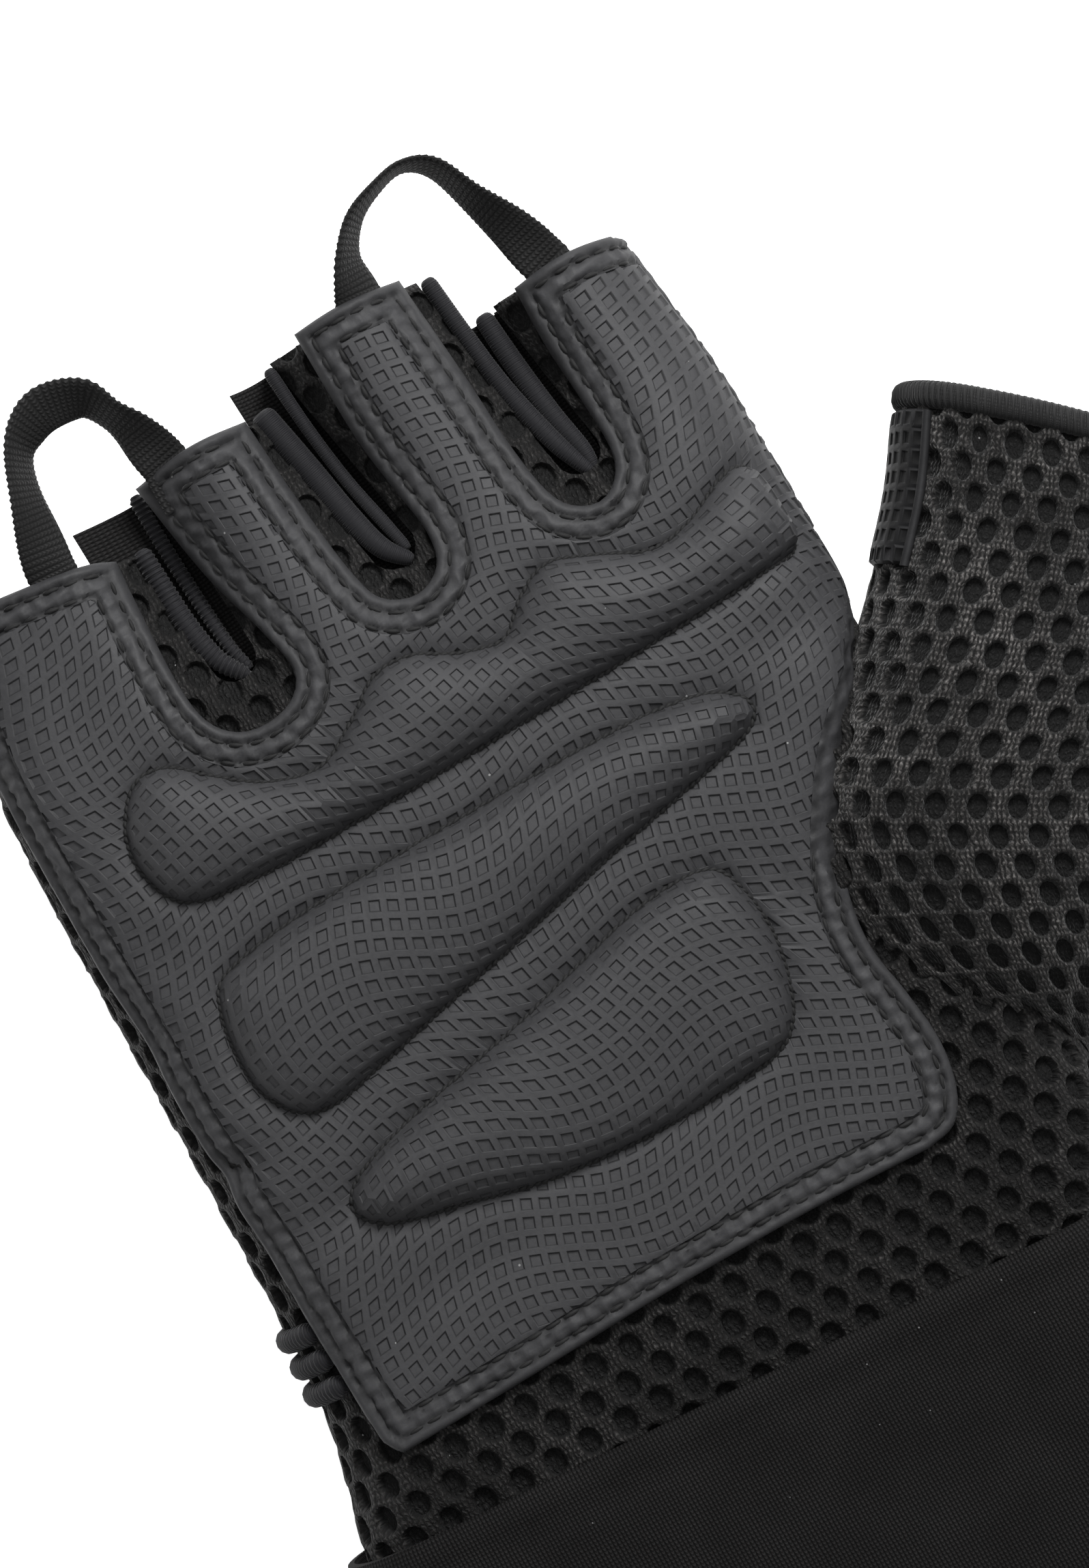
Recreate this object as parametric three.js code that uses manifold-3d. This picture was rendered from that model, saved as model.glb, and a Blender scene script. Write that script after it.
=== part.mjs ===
// A half-finger weightlifting glove for the right hand, lying on its back with the palm up.
// Lengths are in millimetres: +X points to the thumb, +Y to the fingertips and +Z up.
// The origin is under the middle of the palm, on the surface that the glove lies on.
import * as THREE from "three";
import { mergeVertices } from "three/addons/utils/BufferGeometryUtils.js";
import Module from "manifold-3d";

const wasm = await Module();
wasm.setup();

// Sizes of the whole glove
const PALM_WIDTH = 107; // across the knuckles, lying flat
const PALM_LENGTH = 85; // heel edge of the palm panel to the line of the finger crotches
const FINGER_LENGTH = 39; // crotch line to the mouth of the middle finger
const BODY_HEIGHT = 23; // back of the hand to palm, where the glove is fullest
const SIDE_ROUND = 11; // how far in from its edge the hand bends over
const CROWN = 1.2; // how far the palm bulges between its two edges

// Cloth and leather
const MESH_WALL = 2.2; // spacer mesh
const LEATHER_WALL = 1.2; // embossed synthetic leather
const CLEARANCE = 0.3; // between pieces that are sewn together
const SIDE_SEAM_HEIGHT = 10; // where back and palm mesh meet along the edges

// Fingers
const VALLEY_DEPTH = 7; // how far the palm side sinks between two fingers at their mouths
const VALLEY_SPREAD = 6.5; // half width of that dip
const VALLEY_LEAD = 8; // how far below the crotch it begins
const VALLEY_RUN = 24; // the length over which it deepens
const GUSSET_WALL = 2; // stretch cloth between two fingers, folded into two soft walls
const GUSSET_FOLD = 0.6; // open crease between the two walls, at the crotch
const GUSSET_SPREAD = 1.8; // the same at the mouths
const GUSSET_RISE = 0.8; // how far its rolled edge stands above the mesh
const GUSSET_FOOT = 0.4; // its lower edge above the table
const TONGUE_LAP = 0.9; // palm panel beyond the mouth of each finger

// Palm panel
const PANEL_EDGE = -0.446; // its outer edge beside the ribs, as a share of PALM_WIDTH

// Pads under the palm leather
const PAD_RISE = 3.6; // middle of a pad above the leather round it
const PAD_EDGE = 8; // width of a pad's rounded shoulder
const PAD_SEAM = 0.5; // thickness left at its stitched edge
const PAD_GRID = 3.6; // spacing of the points on a pad's crown

// Pull loops
const LOOP_WIDTH = 6.3;
const LOOP_THICKNESS = 0.9;
const LOOP_REACH = 17; // how far a loop stands out from the finger mouths
const LOOP_TUCK = 5; // sewn in between leather and mesh
const LOOP_LIFT = 2.6; // how far its middle rises above its ends
const LOOP_STEPS = 22;

// Thumb
const THUMB_HALF = 20.5; // half of the thumb stall's flat width
const THUMB_HEIGHT = 27;
const THUMB_ROUND = 10; // how far in from its edge the thumb stall bends over
const HEM_WIDTH = 4.4; // overlocked hem round the thumb's mouth
const HEM_RISE = 0.7;
const THUMB_PATCH_LENGTH = 19; // leather on the side of the thumb that faces the index finger
const THUMB_PATCH_LAP = 4; // how far it comes round onto the palm side

// Wrist
const MESH_BAND = 13.8; // mesh that shows between the palm panel and the wrist wrap
const MESH_TUCK = 12; // mesh inside the wrap
const WRAP_HEIGHT = 65;
const WRAP_WALL = 2;
const WRAP_PLAY = 0.6; // between the wrap and the mesh inside it
const FASTENER_WALL = 1.2; // hook-and-loop patch between the two layers of the wrap
const FASTENER_LENGTH = 46; // round the wrist
const FASTENER_MARGIN = 8; // from the wrap's edges and its outer end
const WRAP_LAP_START = 0.34; // inner end, as a share of PALM_WIDTH left of the wrist's middle
const WRAP_LAP_END = 0.3; // outer end, as a share of PALM_WIDTH right of the wrist's middle
const WRAP_SLANT = -4; // degrees that its edges lean, lower on the thumb side
const WRAP_CORNER = 12; // rounded corners of its outer end
const RIB_RADIUS = 1.6; // the three elastic ribs at the outer edge of the hand
const RIB_PITCH = 3.7;
const RIB_PLACE = 0.163; // middle rib above the heel edge, as a share of PALM_LENGTH
const RIB_SINK = 0.2; // how far the middle of a rib lies inside the mesh's surface
const RIB_END = 1.22; // where a rib ends under the hand, in half turns

const HEEL = -PALM_LENGTH / 2;
const CROTCH_LINE = PALM_LENGTH / 2;
const WRAP_LAP_GAP = FASTENER_WALL + 2 * CLEARANCE; // between the wrap's two layers
const WRAP_LIFT = 2 * WRAP_WALL + WRAP_LAP_GAP + CLEARANCE; // mesh above the table at the wrist
const FAR = 2 * (PALM_WIDTH + PALM_LENGTH + WRAP_HEIGHT); // beyond everything, for cutting tools

const alongPalm = (share) => HEEL + share * PALM_LENGTH;
const alongFinger = (share) => CROTCH_LINE + share * FINGER_LENGTH;
const belowHeel = (bands, tucks) => HEEL - bands * MESH_BAND - tucks * MESH_TUCK;

// The hand from the wrist to the finger mouths: left and right are shares of PALM_WIDTH from the
// middle, top is a share of BODY_HEIGHT and lift is a share of WRAP_LIFT.
const handSections = [
  { y: belowHeel(1, 1), left: -0.561, right: 0.394, top: 0.97, lift: 1 },
  { y: belowHeel(1, 0.1), left: -0.561, right: 0.394, top: 0.97, lift: 1 },
  { y: belowHeel(0.68, 0), left: -0.557, right: 0.425, top: 0.97, lift: 1 },
  { y: belowHeel(0, 0), left: -0.531, right: 0.452, top: 0.97, lift: 0 },
  { y: alongPalm(0.12), left: -0.512, right: 0.449, top: 0.97, lift: 0 },
  { y: alongPalm(0.3), left: -0.507, right: 0.444, top: 0.985, lift: 0 },
  { y: alongPalm(0.52), left: -0.503, right: 0.46, top: 1, lift: 0 },
  { y: alongPalm(0.7), left: -0.5, right: 0.479, top: 1, lift: 0 },
  { y: alongPalm(0.88), left: -0.498, right: 0.478, top: 0.97, lift: 0 },
  { y: alongFinger(0.12), left: -0.493, right: 0.477, top: 0.92, lift: 0 },
  { y: alongFinger(0.36), left: -0.483, right: 0.472, top: 0.85, lift: 0 },
  { y: alongFinger(0.6), left: -0.47, right: 0.461, top: 0.79, lift: 0 },
  { y: alongFinger(0.84), left: -0.455, right: 0.451, top: 0.75, lift: 0 },
  { y: alongFinger(1.12), left: -0.443, right: 0.43, top: 0.72, lift: 0 },
];

// Leather tongues: their edges at the mouth as shares of PALM_WIDTH from the middle of the palm,
// and the mouth's two ends as shares of FINGER_LENGTH above the crotch line. The index finger's
// tongue goes on round the side of the hand.
const fingers = [
  { name: "little", left: -0.43, right: -0.23, mouthLeft: 0.765, mouthRight: 0.675 },
  { name: "ring", left: -0.157, right: -0.019, mouthLeft: 0.85, mouthRight: 0.855 },
  { name: "middle", left: 0.079, right: 0.216, mouthLeft: 0.995, mouthRight: 0.985 },
  { name: "index", left: 0.325, right: 0.54, mouthLeft: 0.8, mouthRight: 0.775 },
];

// Crotches: the gusset's fold from its foot to the mouths, and the U cut in the leather round it.
// Places across are shares of PALM_WIDTH, places along are shares of FINGER_LENGTH.
const crotches = [
  { name: "little_ring", footX: -0.168, footY: 0.167, mouthX: -0.19, uX: -0.176, uY: 0, uHalf: 0.057 },
  { name: "ring_middle", footX: 0.054, footY: 0.22, mouthX: 0.008, uX: 0.05, uY: 0.11, uHalf: 0.046 },
  { name: "middle_index", footX: 0.2925, footY: 0.19, mouthX: 0.259, uX: 0.28, uY: 0.082, uHalf: 0.046 },
];
const U_DEPTH = 1.35; // a U's round bottom, in half widths

// Pads, as closed outlines: across is a share of PALM_WIDTH from the middle of the palm and along
// a share of PALM_LENGTH from the heel edge.
const pads = [
  {
    name: "knuckle_pad",
    outline: [
      { across: -0.26, along: 0.82 }, { across: -0.345, along: 0.86 }, { across: -0.375, along: 0.955 },
      { across: -0.34, along: 1.02 }, { across: -0.275, along: 1.005 }, { across: -0.2, along: 0.93 },
      { across: -0.13, along: 0.908 }, { across: -0.04, along: 0.978 }, { across: 0.03, along: 0.975 },
      { across: 0.105, along: 0.928 }, { across: 0.195, along: 0.992 }, { across: 0.31, along: 0.938 },
      { across: 0.4, along: 0.965 }, { across: 0.455, along: 0.955 }, { across: 0.46, along: 0.85 },
      { across: 0.41, along: 0.825 }, { across: 0.1, along: 0.815 },
    ],
  },
  {
    name: "center_pad",
    outline: [
      { across: -0.325, along: 0.482 }, { across: -0.375, along: 0.535 }, { across: -0.372, along: 0.665 },
      { across: -0.335, along: 0.722 }, { across: -0.23, along: 0.738 }, { across: 0.2, along: 0.741 },
      { across: 0.295, along: 0.722 }, { across: 0.322, along: 0.683 }, { across: 0.285, along: 0.65 },
      { across: 0.1, along: 0.59 }, { across: -0.12, along: 0.523 }, { across: -0.23, along: 0.486 },
    ],
  },
  {
    name: "heel_pad",
    outline: [
      { across: -0.352, along: 0.325 }, { across: -0.34, along: 0.372 }, { across: -0.24, along: 0.412 },
      { across: 0, along: 0.475 }, { across: 0.14, along: 0.512 }, { across: 0.195, along: 0.495 },
      { across: 0.218, along: 0.4 }, { across: 0.208, along: 0.3 }, { across: 0.17, along: 0.235 },
      { across: 0.04, along: 0.213 }, { across: -0.1, along: 0.227 }, { across: -0.28, along: 0.268 },
    ],
  },
];

// The thumb stall from its foot inside the palm to its mouth. Places are shares of PALM_WIDTH and
// PALM_LENGTH from the middle of the palm, turn is in degrees, half and top are shares of
// THUMB_HALF and THUMB_HEIGHT and floor is a share of MESH_WALL.
const thumbSections = [
  { across: 0.452, along: -0.475, turn: -24, half: 0.38, floor: 2.2, top: 0.55 },
  { across: 0.44, along: -0.4, turn: -25, half: 0.74, floor: 1.3, top: 0.84 },
  { across: 0.45, along: -0.27, turn: -27, half: 0.99, floor: 0.7, top: 0.98 },
  { across: 0.487, along: -0.12, turn: -31, half: 1.08, floor: 0.5, top: 1 },
  { across: 0.636, along: 0.059, turn: -36, half: 1, floor: 0.4, top: 0.95 },
  { across: 0.738, along: 0.2, turn: -37, half: 0.97, floor: 0.35, top: 0.89 },
  { across: 0.8, along: 0.326, turn: -38.5, half: 0.95, floor: 0.35, top: 0.84 },
];

// Pull loops between two fingers: across runs from the first end to the second, out is a share
// of LOOP_REACH, and stand is how far the webbing has turned onto its edge, 1 being upright.
const pullLoops = [
  {
    name: "pull_loop_index_middle",
    from: { across: 0.163, along: 0.98 },
    to: { across: 0.374, along: 0.79 },
    route: [
      { across: 0.01, out: 0.14, stand: 0.3 }, { across: 0.06, out: 0.39, stand: 0.7 },
      { across: 0.195, out: 0.67, stand: 0.84 }, { across: 0.38, out: 0.87, stand: 0.93 },
      { across: 0.56, out: 0.99, stand: 0.94 }, { across: 0.71, out: 0.93, stand: 0.8 },
      { across: 0.81, out: 0.65, stand: 0.68 }, { across: 0.91, out: 0.37, stand: 0.4 },
      { across: 0.97, out: 0.14, stand: 0.1 },
    ],
  },
  {
    name: "pull_loop_little_ring",
    from: { across: -0.3, along: 0.73 },
    to: { across: -0.124, along: 0.86 },
    route: [
      { across: 0.02, out: 0.17, stand: 0.2 }, { across: 0.1, out: 0.52, stand: 0.6 },
      { across: 0.2, out: 0.82, stand: 0.7 }, { across: 0.34, out: 0.93, stand: 0.5 },
      { across: 0.52, out: 0.94, stand: 0.35 }, { across: 0.75, out: 0.8, stand: 0.5 },
      { across: 0.86, out: 0.56, stand: 0.62 }, { across: 0.93, out: 0.38, stand: 0.45 },
      { across: 0.98, out: 0.14, stand: 0.1 },
    ],
  },
];

const glove = new THREE.Group();

const finish = (color, roughness) => new THREE.MeshStandardMaterial({ color, roughness, metalness: 0 });
const leather = finish(0x414144, 0.62);
const mesh = finish(0x2c2b2b, 0.9);
const stretch = finish(0x28272b, 0.7);
const webbing = finish(0x242424, 0.8);
const jersey = finish(0x1f1e20, 0.85);

// A closed geometry as a solid that can be cut and joined.
function solidOf(geometry) {
  const bare = new THREE.BufferGeometry();
  bare.setAttribute("position", geometry.getAttribute("position"));
  if (geometry.index) bare.setIndex(geometry.index);
  const merged = mergeVertices(bare, 1e-4);
  return new wasm.Manifold(
    new wasm.Mesh({
      numProp: 3,
      vertProperties: new Float32Array(merged.attributes.position.array),
      triVerts: new Uint32Array(merged.index.array),
    }),
  );
}

// A finished solid as a named mesh of the glove.
function addPiece(name, solid, material) {
  const cut = solid.getMesh();
  const geometry = new THREE.BufferGeometry();
  geometry.setAttribute("position", new THREE.BufferAttribute(cut.vertProperties, 3));
  geometry.setIndex(new THREE.BufferAttribute(cut.triVerts, 1));
  geometry.computeVertexNormals();
  const piece = new THREE.Mesh(geometry, material);
  piece.name = name;
  glove.add(piece);
}

// The largest body of a solid, without the crumbs that a cut leaves.
function largestOf(solid) {
  return solid.decompose().sort((a, b) => b.volume() - a.volume())[0];
}

// A flat outline pulled straight up from one height to another.
function prism(shape, from, to, curveSegments = 6) {
  const geometry = new THREE.ExtrudeGeometry(shape, { depth: to - from, bevelEnabled: false, curveSegments });
  return solidOf(geometry.translate(0, 0, from));
}

// Everything on the far side of an upright plane through (x, y), whose normal is turned from +Y.
function beyond(x, y, turn) {
  const block = new THREE.BoxGeometry(FAR, FAR, FAR).translate(0, FAR / 2, 0);
  return solidOf(block.rotateZ(THREE.MathUtils.degToRad(turn)).translate(x, y, 0));
}

// A slab of space between two heights.
function between(low, high) {
  return solidOf(new THREE.BoxGeometry(FAR, FAR, high - low).translate(0, 0, (low + high) / 2));
}

// A closed body skinned over flat rings, each given by its outline and a function that places it.
function skin(rings) {
  const around = rings[0].outline.length;
  const points = rings.flatMap(({ outline, place }) => outline.map(place));
  const index = [];
  for (let ring = 0; ring < rings.length - 1; ring++) {
    for (let i = 0; i < around; i++) {
      const here = ring * around + i;
      const next = ring * around + ((i + 1) % around);
      index.push(here, here + around, next, next, here + around, next + around);
    }
  }
  const last = (rings.length - 1) * around;
  const capOf = (ring) => THREE.ShapeUtils.triangulateShape(ring.outline, []);
  for (const [a, b, c] of capOf(rings[0])) index.push(a, b, c);
  for (const [a, b, c] of capOf(rings[rings.length - 1])) index.push(last + a, last + c, last + b);
  const geometry = new THREE.BufferGeometry().setFromPoints(points);
  geometry.setIndex(index);
  return solidOf(geometry);
}

// The outline of a flattened tube: a flat floor, round sides and a top that may be crowned.
function tubeOutline(half, floor, top, round, crown, topSteps, sideSteps = 5) {
  const middle = (floor + top) / 2;
  const rise = (top - floor) / 2;
  const flat = half - round;
  const points = [new THREE.Vector2(-flat, floor), new THREE.Vector2(flat, floor)];
  const sidePoint = (angle, side) =>
    new THREE.Vector2(side * (flat + round * Math.cos(angle)), middle + rise * Math.sin(angle));
  for (let i = 1; i < 2 * sideSteps; i++) {
    points.push(sidePoint(Math.PI * (i / (2 * sideSteps) - 0.5), 1));
  }
  for (let i = 0; i <= topSteps; i++) {
    const q = flat * (1 - (2 * i) / topSteps);
    points.push(new THREE.Vector2(q, top + crown * (1 - (q / flat) ** 2)));
  }
  for (let i = 1; i < 2 * sideSteps; i++) {
    points.push(sidePoint(Math.PI * (0.5 - i / (2 * sideSteps)), -1));
  }
  return points;
}

// How far the palm side sinks at a point, along the gussets between the fingers.
function valley(x, y) {
  let sink = 0;
  for (const crotch of crotches) {
    const foot = alongFinger(crotch.footY);
    const share = THREE.MathUtils.smoothstep(y, foot - VALLEY_LEAD, foot - VALLEY_LEAD + VALLEY_RUN);
    const off = (x - gussetLine(crotch, y)) / VALLEY_SPREAD;
    sink += share * Math.exp(-off * off);
  }
  return VALLEY_DEPTH * sink;
}

// Where a gusset's fold lies across the glove, at a place along the fingers.
function gussetLine(crotch, y) {
  const share = (y - alongFinger(crotch.footY)) / (alongFinger(1) - alongFinger(crotch.footY));
  return PALM_WIDTH * THREE.MathUtils.lerp(crotch.footX, crotch.mouthX, share);
}

// The hand's outer form, grown or shrunk all round, and run on past both ends where asked.
function handBody(grow, overrun = 0) {
  const first = handSections[0];
  const last = handSections[handSections.length - 1];
  const sections = [
    { ...first, y: first.y - overrun },
    ...handSections.slice(1, -1),
    { ...last, y: last.y + overrun },
  ];
  return skin(
    sections.map(({ y, left, right, top, lift }) => {
      const middle = (PALM_WIDTH * (left + right)) / 2;
      const half = (PALM_WIDTH * (right - left)) / 2 + grow;
      const floor = lift * WRAP_LIFT - grow;
      const height = top * BODY_HEIGHT + grow;
      const centre = (floor + height) / 2;
      const place = ({ x: q, y: z }) => {
        const x = middle + q;
        const share = THREE.MathUtils.clamp((z - centre) / (height - centre), 0, 1);
        return new THREE.Vector3(x, y, z - share * valley(x, y));
      };
      return { outline: tubeOutline(half, floor, height, SIDE_ROUND + grow, CROWN, 24), place };
    }),
  );
}

// The hook-and-loop patch that holds the wrap's outer end to the layer above it.
function fastenerBody() {
  const { left, right } = handSections[0];
  const middle = (PALM_WIDTH * (left + right)) / 2;
  const end = middle + WRAP_LAP_END * PALM_WIDTH - FASTENER_MARGIN;
  const top = belowHeel(1, 0) - FASTENER_MARGIN;
  const low = belowHeel(1, 0) - WRAP_HEIGHT + FASTENER_MARGIN;
  const corner = FASTENER_MARGIN / 2;
  const shape = new THREE.Shape();
  shape.moveTo(end - FASTENER_LENGTH + corner, low);
  shape.absarc(end - corner, low + corner, corner, -Math.PI / 2, 0, false);
  shape.absarc(end - corner, top - corner, corner, 0, Math.PI / 2, false);
  shape.absarc(end - FASTENER_LENGTH + corner, top - corner, corner, Math.PI / 2, Math.PI, false);
  shape.absarc(end - FASTENER_LENGTH + corner, low + corner, corner, Math.PI, 1.5 * Math.PI, false);
  const under = WRAP_WALL + CLEARANCE;
  return prism(shape, under, under + FASTENER_WALL, 4);
}

// The row of handSections at one place along the hand, worked out between two rows.
function handSectionAt(y) {
  const next = Math.max(1, handSections.findIndex((section) => section.y >= y));
  const low = handSections[next - 1];
  const high = handSections[next];
  const share = THREE.MathUtils.clamp((y - low.y) / (high.y - low.y), 0, 1);
  const mix = (key) => THREE.MathUtils.lerp(low[key], high[key], share);
  return { left: mix("left"), right: mix("right"), top: mix("top") };
}

// Height of the hand's palm side over a point between the wrist and the mouths.
function palmHeight(x, y) {
  const section = handSectionAt(y);
  const middle = (PALM_WIDTH * (section.left + section.right)) / 2;
  const half = (PALM_WIDTH * (section.right - section.left)) / 2;
  const flat = half - SIDE_ROUND;
  const q = Math.abs(x - middle);
  const bend = THREE.MathUtils.clamp((q - flat) / SIDE_ROUND, 0, 1);
  const top = section.top * BODY_HEIGHT;
  const crown = CROWN * Math.max(0, 1 - (q / flat) ** 2);
  return top / 2 + (top / 2) * Math.sqrt(1 - bend * bend) + crown - valley(x, y);
}

// The thumb's outer form, in the same way, run on past its mouth where asked. A hollow's foot
// stays inside the foot of the outer form.
function thumbBody(grow, overrun = 0) {
  const rings = thumbSections.map((section, i) => {
    const turn = THREE.MathUtils.degToRad(section.turn);
    const run = i === 0 ? -grow : i === thumbSections.length - 1 ? Math.max(grow, 0) + overrun : 0;
    const x0 = section.across * PALM_WIDTH - run * Math.sin(turn);
    const y0 = section.along * PALM_LENGTH + run * Math.cos(turn);
    const place = ({ x: q, y: z }) =>
      new THREE.Vector3(x0 + q * Math.cos(turn), y0 + q * Math.sin(turn), z);
    const half = section.half * THUMB_HALF + grow;
    const floor = section.floor * MESH_WALL - grow;
    const top = section.top * THUMB_HEIGHT + grow;
    const round = Math.min(THUMB_ROUND + grow, half * 0.8);
    return { outline: tubeOutline(half, floor, top, round, CROWN, 6, 4), place };
  });
  return skin(rings);
}

// Everything on the palm side of the finger mouths, with a step at each gusset.
function insideMouths(lap = 0) {
  const mouth = (share) => alongFinger(share) + lap;
  const shape = new THREE.Shape();
  shape.moveTo(-FAR, -FAR);
  shape.lineTo(FAR, -FAR);
  shape.lineTo(FAR, mouth(fingers[3].mouthRight));
  for (let i = 3; i > 0; i--) {
    const x = PALM_WIDTH * crotches[i - 1].mouthX;
    shape.lineTo(x, mouth(fingers[i].mouthLeft));
    shape.lineTo(x, mouth(fingers[i - 1].mouthRight));
  }
  shape.lineTo(fingers[0].left * PALM_WIDTH, mouth(fingers[0].mouthLeft));
  shape.lineTo(-FAR, mouth(fingers[0].mouthLeft));
  return prism(shape, -FAR, FAR);
}

// The wedge between two fingers, with a round foot, for the gusset and the cut that it sits in.
function gussetWedge(crotch, inset) {
  const halfAt = (y) => {
    const share = (y - alongFinger(crotch.footY)) / (alongFinger(1) - alongFinger(crotch.footY));
    return THREE.MathUtils.lerp(GUSSET_FOLD, GUSSET_SPREAD, share) / 2 + GUSSET_WALL + CLEARANCE - inset;
  };
  const footX = crotch.footX * PALM_WIDTH;
  const foot = halfAt(alongFinger(crotch.footY));
  const footY = alongFinger(crotch.footY) + inset + foot;
  const endY = alongFinger(1) + FINGER_LENGTH;
  const endX = gussetLine(crotch, endY);
  const shape = new THREE.Shape();
  shape.moveTo(endX - halfAt(endY), endY);
  shape.lineTo(footX - foot, footY);
  shape.absarc(footX, footY, foot, Math.PI, 2 * Math.PI, false);
  shape.lineTo(endX + halfAt(endY), endY);
  return prism(shape, -FAR, FAR);
}

// The palm panel's outline, from the heel's outer corner up the edge and over the fingers.
function panelShape() {
  const w = (share) => share * PALM_WIDTH;
  const mouth = (share) => alongFinger(share) + TONGUE_LAP;
  const shape = new THREE.Shape();
  shape.moveTo(w(-0.43), HEEL);
  shape.quadraticCurveTo(w(-0.445), HEEL, w(PANEL_EDGE), alongPalm(0.03));
  shape.lineTo(w(-0.458), alongPalm(0.6));
  shape.lineTo(w(-0.463), alongFinger(0.2));
  shape.quadraticCurveTo(w(-0.455), alongFinger(0.5), w(fingers[0].left), mouth(fingers[0].mouthLeft));
  crotches.forEach((crotch, i) => {
    const half = w(crotch.uHalf);
    const bottom = alongFinger(crotch.uY);
    const shoulder = bottom + half * U_DEPTH;
    shape.lineTo(w(fingers[i].right), mouth(fingers[i].mouthRight));
    shape.lineTo(w(crotch.uX) - half, shoulder);
    shape.absellipse(w(crotch.uX), shoulder, half, half * U_DEPTH, Math.PI, 2 * Math.PI, false);
    shape.lineTo(w(fingers[i + 1].left), mouth(fingers[i + 1].mouthLeft));
  });
  shape.lineTo(w(fingers[3].right), mouth(fingers[3].mouthRight));
  shape.lineTo(w(0.56), alongPalm(0.72));
  shape.quadraticCurveTo(w(0.4), alongPalm(0.56), w(0.309), alongPalm(0.4));
  shape.lineTo(w(0.309), alongPalm(0.07));
  shape.quadraticCurveTo(w(0.309), HEEL, w(0.255), HEEL);
  return shape;
}

// A pad's outline as a smooth closed curve.
function padPoints(pad, divisions) {
  const corners = pad.outline.map(
    ({ across, along }) => new THREE.Vector3(across * PALM_WIDTH, alongPalm(along), 0),
  );
  const curve = new THREE.CatmullRomCurve3(corners, true, "centripetal");
  return curve.getPoints(divisions).slice(0, -1).map((p) => new THREE.Vector2(p.x, p.y));
}

// Distance from a point to the outline, or 0 outside it.
function depthInside(x, y, outline) {
  let nearest = Infinity;
  let inside = false;
  outline.forEach((a, i) => {
    const b = outline[(i + 1) % outline.length];
    const along = THREE.MathUtils.clamp(
      ((x - a.x) * (b.x - a.x) + (y - a.y) * (b.y - a.y)) / a.distanceToSquared(b), 0, 1,
    );
    nearest = Math.min(nearest, Math.hypot(x - a.x - along * (b.x - a.x), y - a.y - along * (b.y - a.y)));
    if (a.y > y !== b.y > y && x < a.x + ((b.x - a.x) * (y - a.y)) / (b.y - a.y)) inside = !inside;
  });
  return inside ? nearest : 0;
}

// A pad: a low crown over its outline, seated on the palm panel.
function padBody(pad) {
  const outline = padPoints(pad, 56);
  const box = new THREE.Box2().setFromPoints(outline).expandByScalar(PAD_GRID);
  const columns = Math.ceil((box.max.x - box.min.x) / PAD_GRID);
  const rows = Math.ceil((box.max.y - box.min.y) / PAD_GRID);
  const seat = 2 * CLEARANCE + LEATHER_WALL;
  const lowest = -CLEARANCE;
  const rings = [];
  for (let row = 0; row <= rows; row++) {
    const y = THREE.MathUtils.lerp(box.min.y, box.max.y, row / rows);
    const section = [new THREE.Vector2(box.min.x, lowest), new THREE.Vector2(box.max.x, lowest)];
    for (let column = columns; column >= 0; column--) {
      const x = THREE.MathUtils.lerp(box.min.x, box.max.x, column / columns);
      const bend = 1 - Math.min(1, depthInside(x, y, outline) / PAD_EDGE);
      const rise = PAD_SEAM + PAD_RISE * Math.sqrt(1 - bend * bend);
      section.push(new THREE.Vector2(x, palmHeight(x, y) + seat + rise));
    }
    rings.push({ outline: section, place: (p) => new THREE.Vector3(p.x, y, p.y) });
  }
  const crown = skin(rings).intersect(prism(new THREE.Shape(outline), lowest, FAR));
  return largestOf(crown.subtract(handBody(seat)));
}

// A pull loop: flat webbing that turns onto its edge between its two sewn ends.
function loopBody(loop, grow) {
  const width = LOOP_WIDTH / 2 + grow;
  const thickness = LOOP_THICKNESS / 2 + grow;
  const ends = [loop.from, loop.to].map(({ across, along }) => {
    const x = across * PALM_WIDTH;
    const y = alongFinger(along);
    return new THREE.Vector3(x, y, palmHeight(x, y) - CLEARANCE - LOOP_THICKNESS / 2);
  });
  const stations = loop.route.map(({ across, out, stand }) => {
    const point = new THREE.Vector3().lerpVectors(ends[0], ends[1], across);
    point.y += out * LOOP_REACH;
    point.z += LOOP_LIFT * Math.min(1, 2 * out);
    return { point, stand };
  });
  const inward = new THREE.Vector3(0, -LOOP_TUCK, 0);
  stations.unshift({ point: ends[0].clone().add(inward), stand: 0 }, { point: ends[0], stand: 0 });
  stations.push({ point: ends[1], stand: 0 }, { point: ends[1].clone().add(inward), stand: 0 });
  const curve = new THREE.CatmullRomCurve3(stations.map(({ point }) => point), false, "centripetal");
  const rings = [];
  for (let i = 0; i <= LOOP_STEPS; i++) {
    const t = i / LOOP_STEPS;
    const centre = curve.getPoint(t);
    const tangent = curve.getTangent(t);
    const place = t * (stations.length - 1);
    const before = stations[Math.floor(place)];
    const after = stations[Math.min(stations.length - 1, Math.floor(place) + 1)];
    const stand = THREE.MathUtils.lerp(before.stand, after.stand, place - Math.floor(place));
    const across = new THREE.Vector3(tangent.y, -tangent.x, 0).normalize();
    across.applyAxisAngle(tangent, (stand * Math.PI) / 2);
    const face = new THREE.Vector3().crossVectors(across, tangent).normalize();
    const outline = [[-1, -1], [1, -1], [1, 1], [-1, 1]].map(([u, v]) => new THREE.Vector2(u * width, v * thickness));
    rings.push({
      outline,
      place: ({ x: u, y: v }) => centre.clone().addScaledVector(across, u).addScaledVector(face, v),
    });
  }
  return skin(rings);
}

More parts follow.
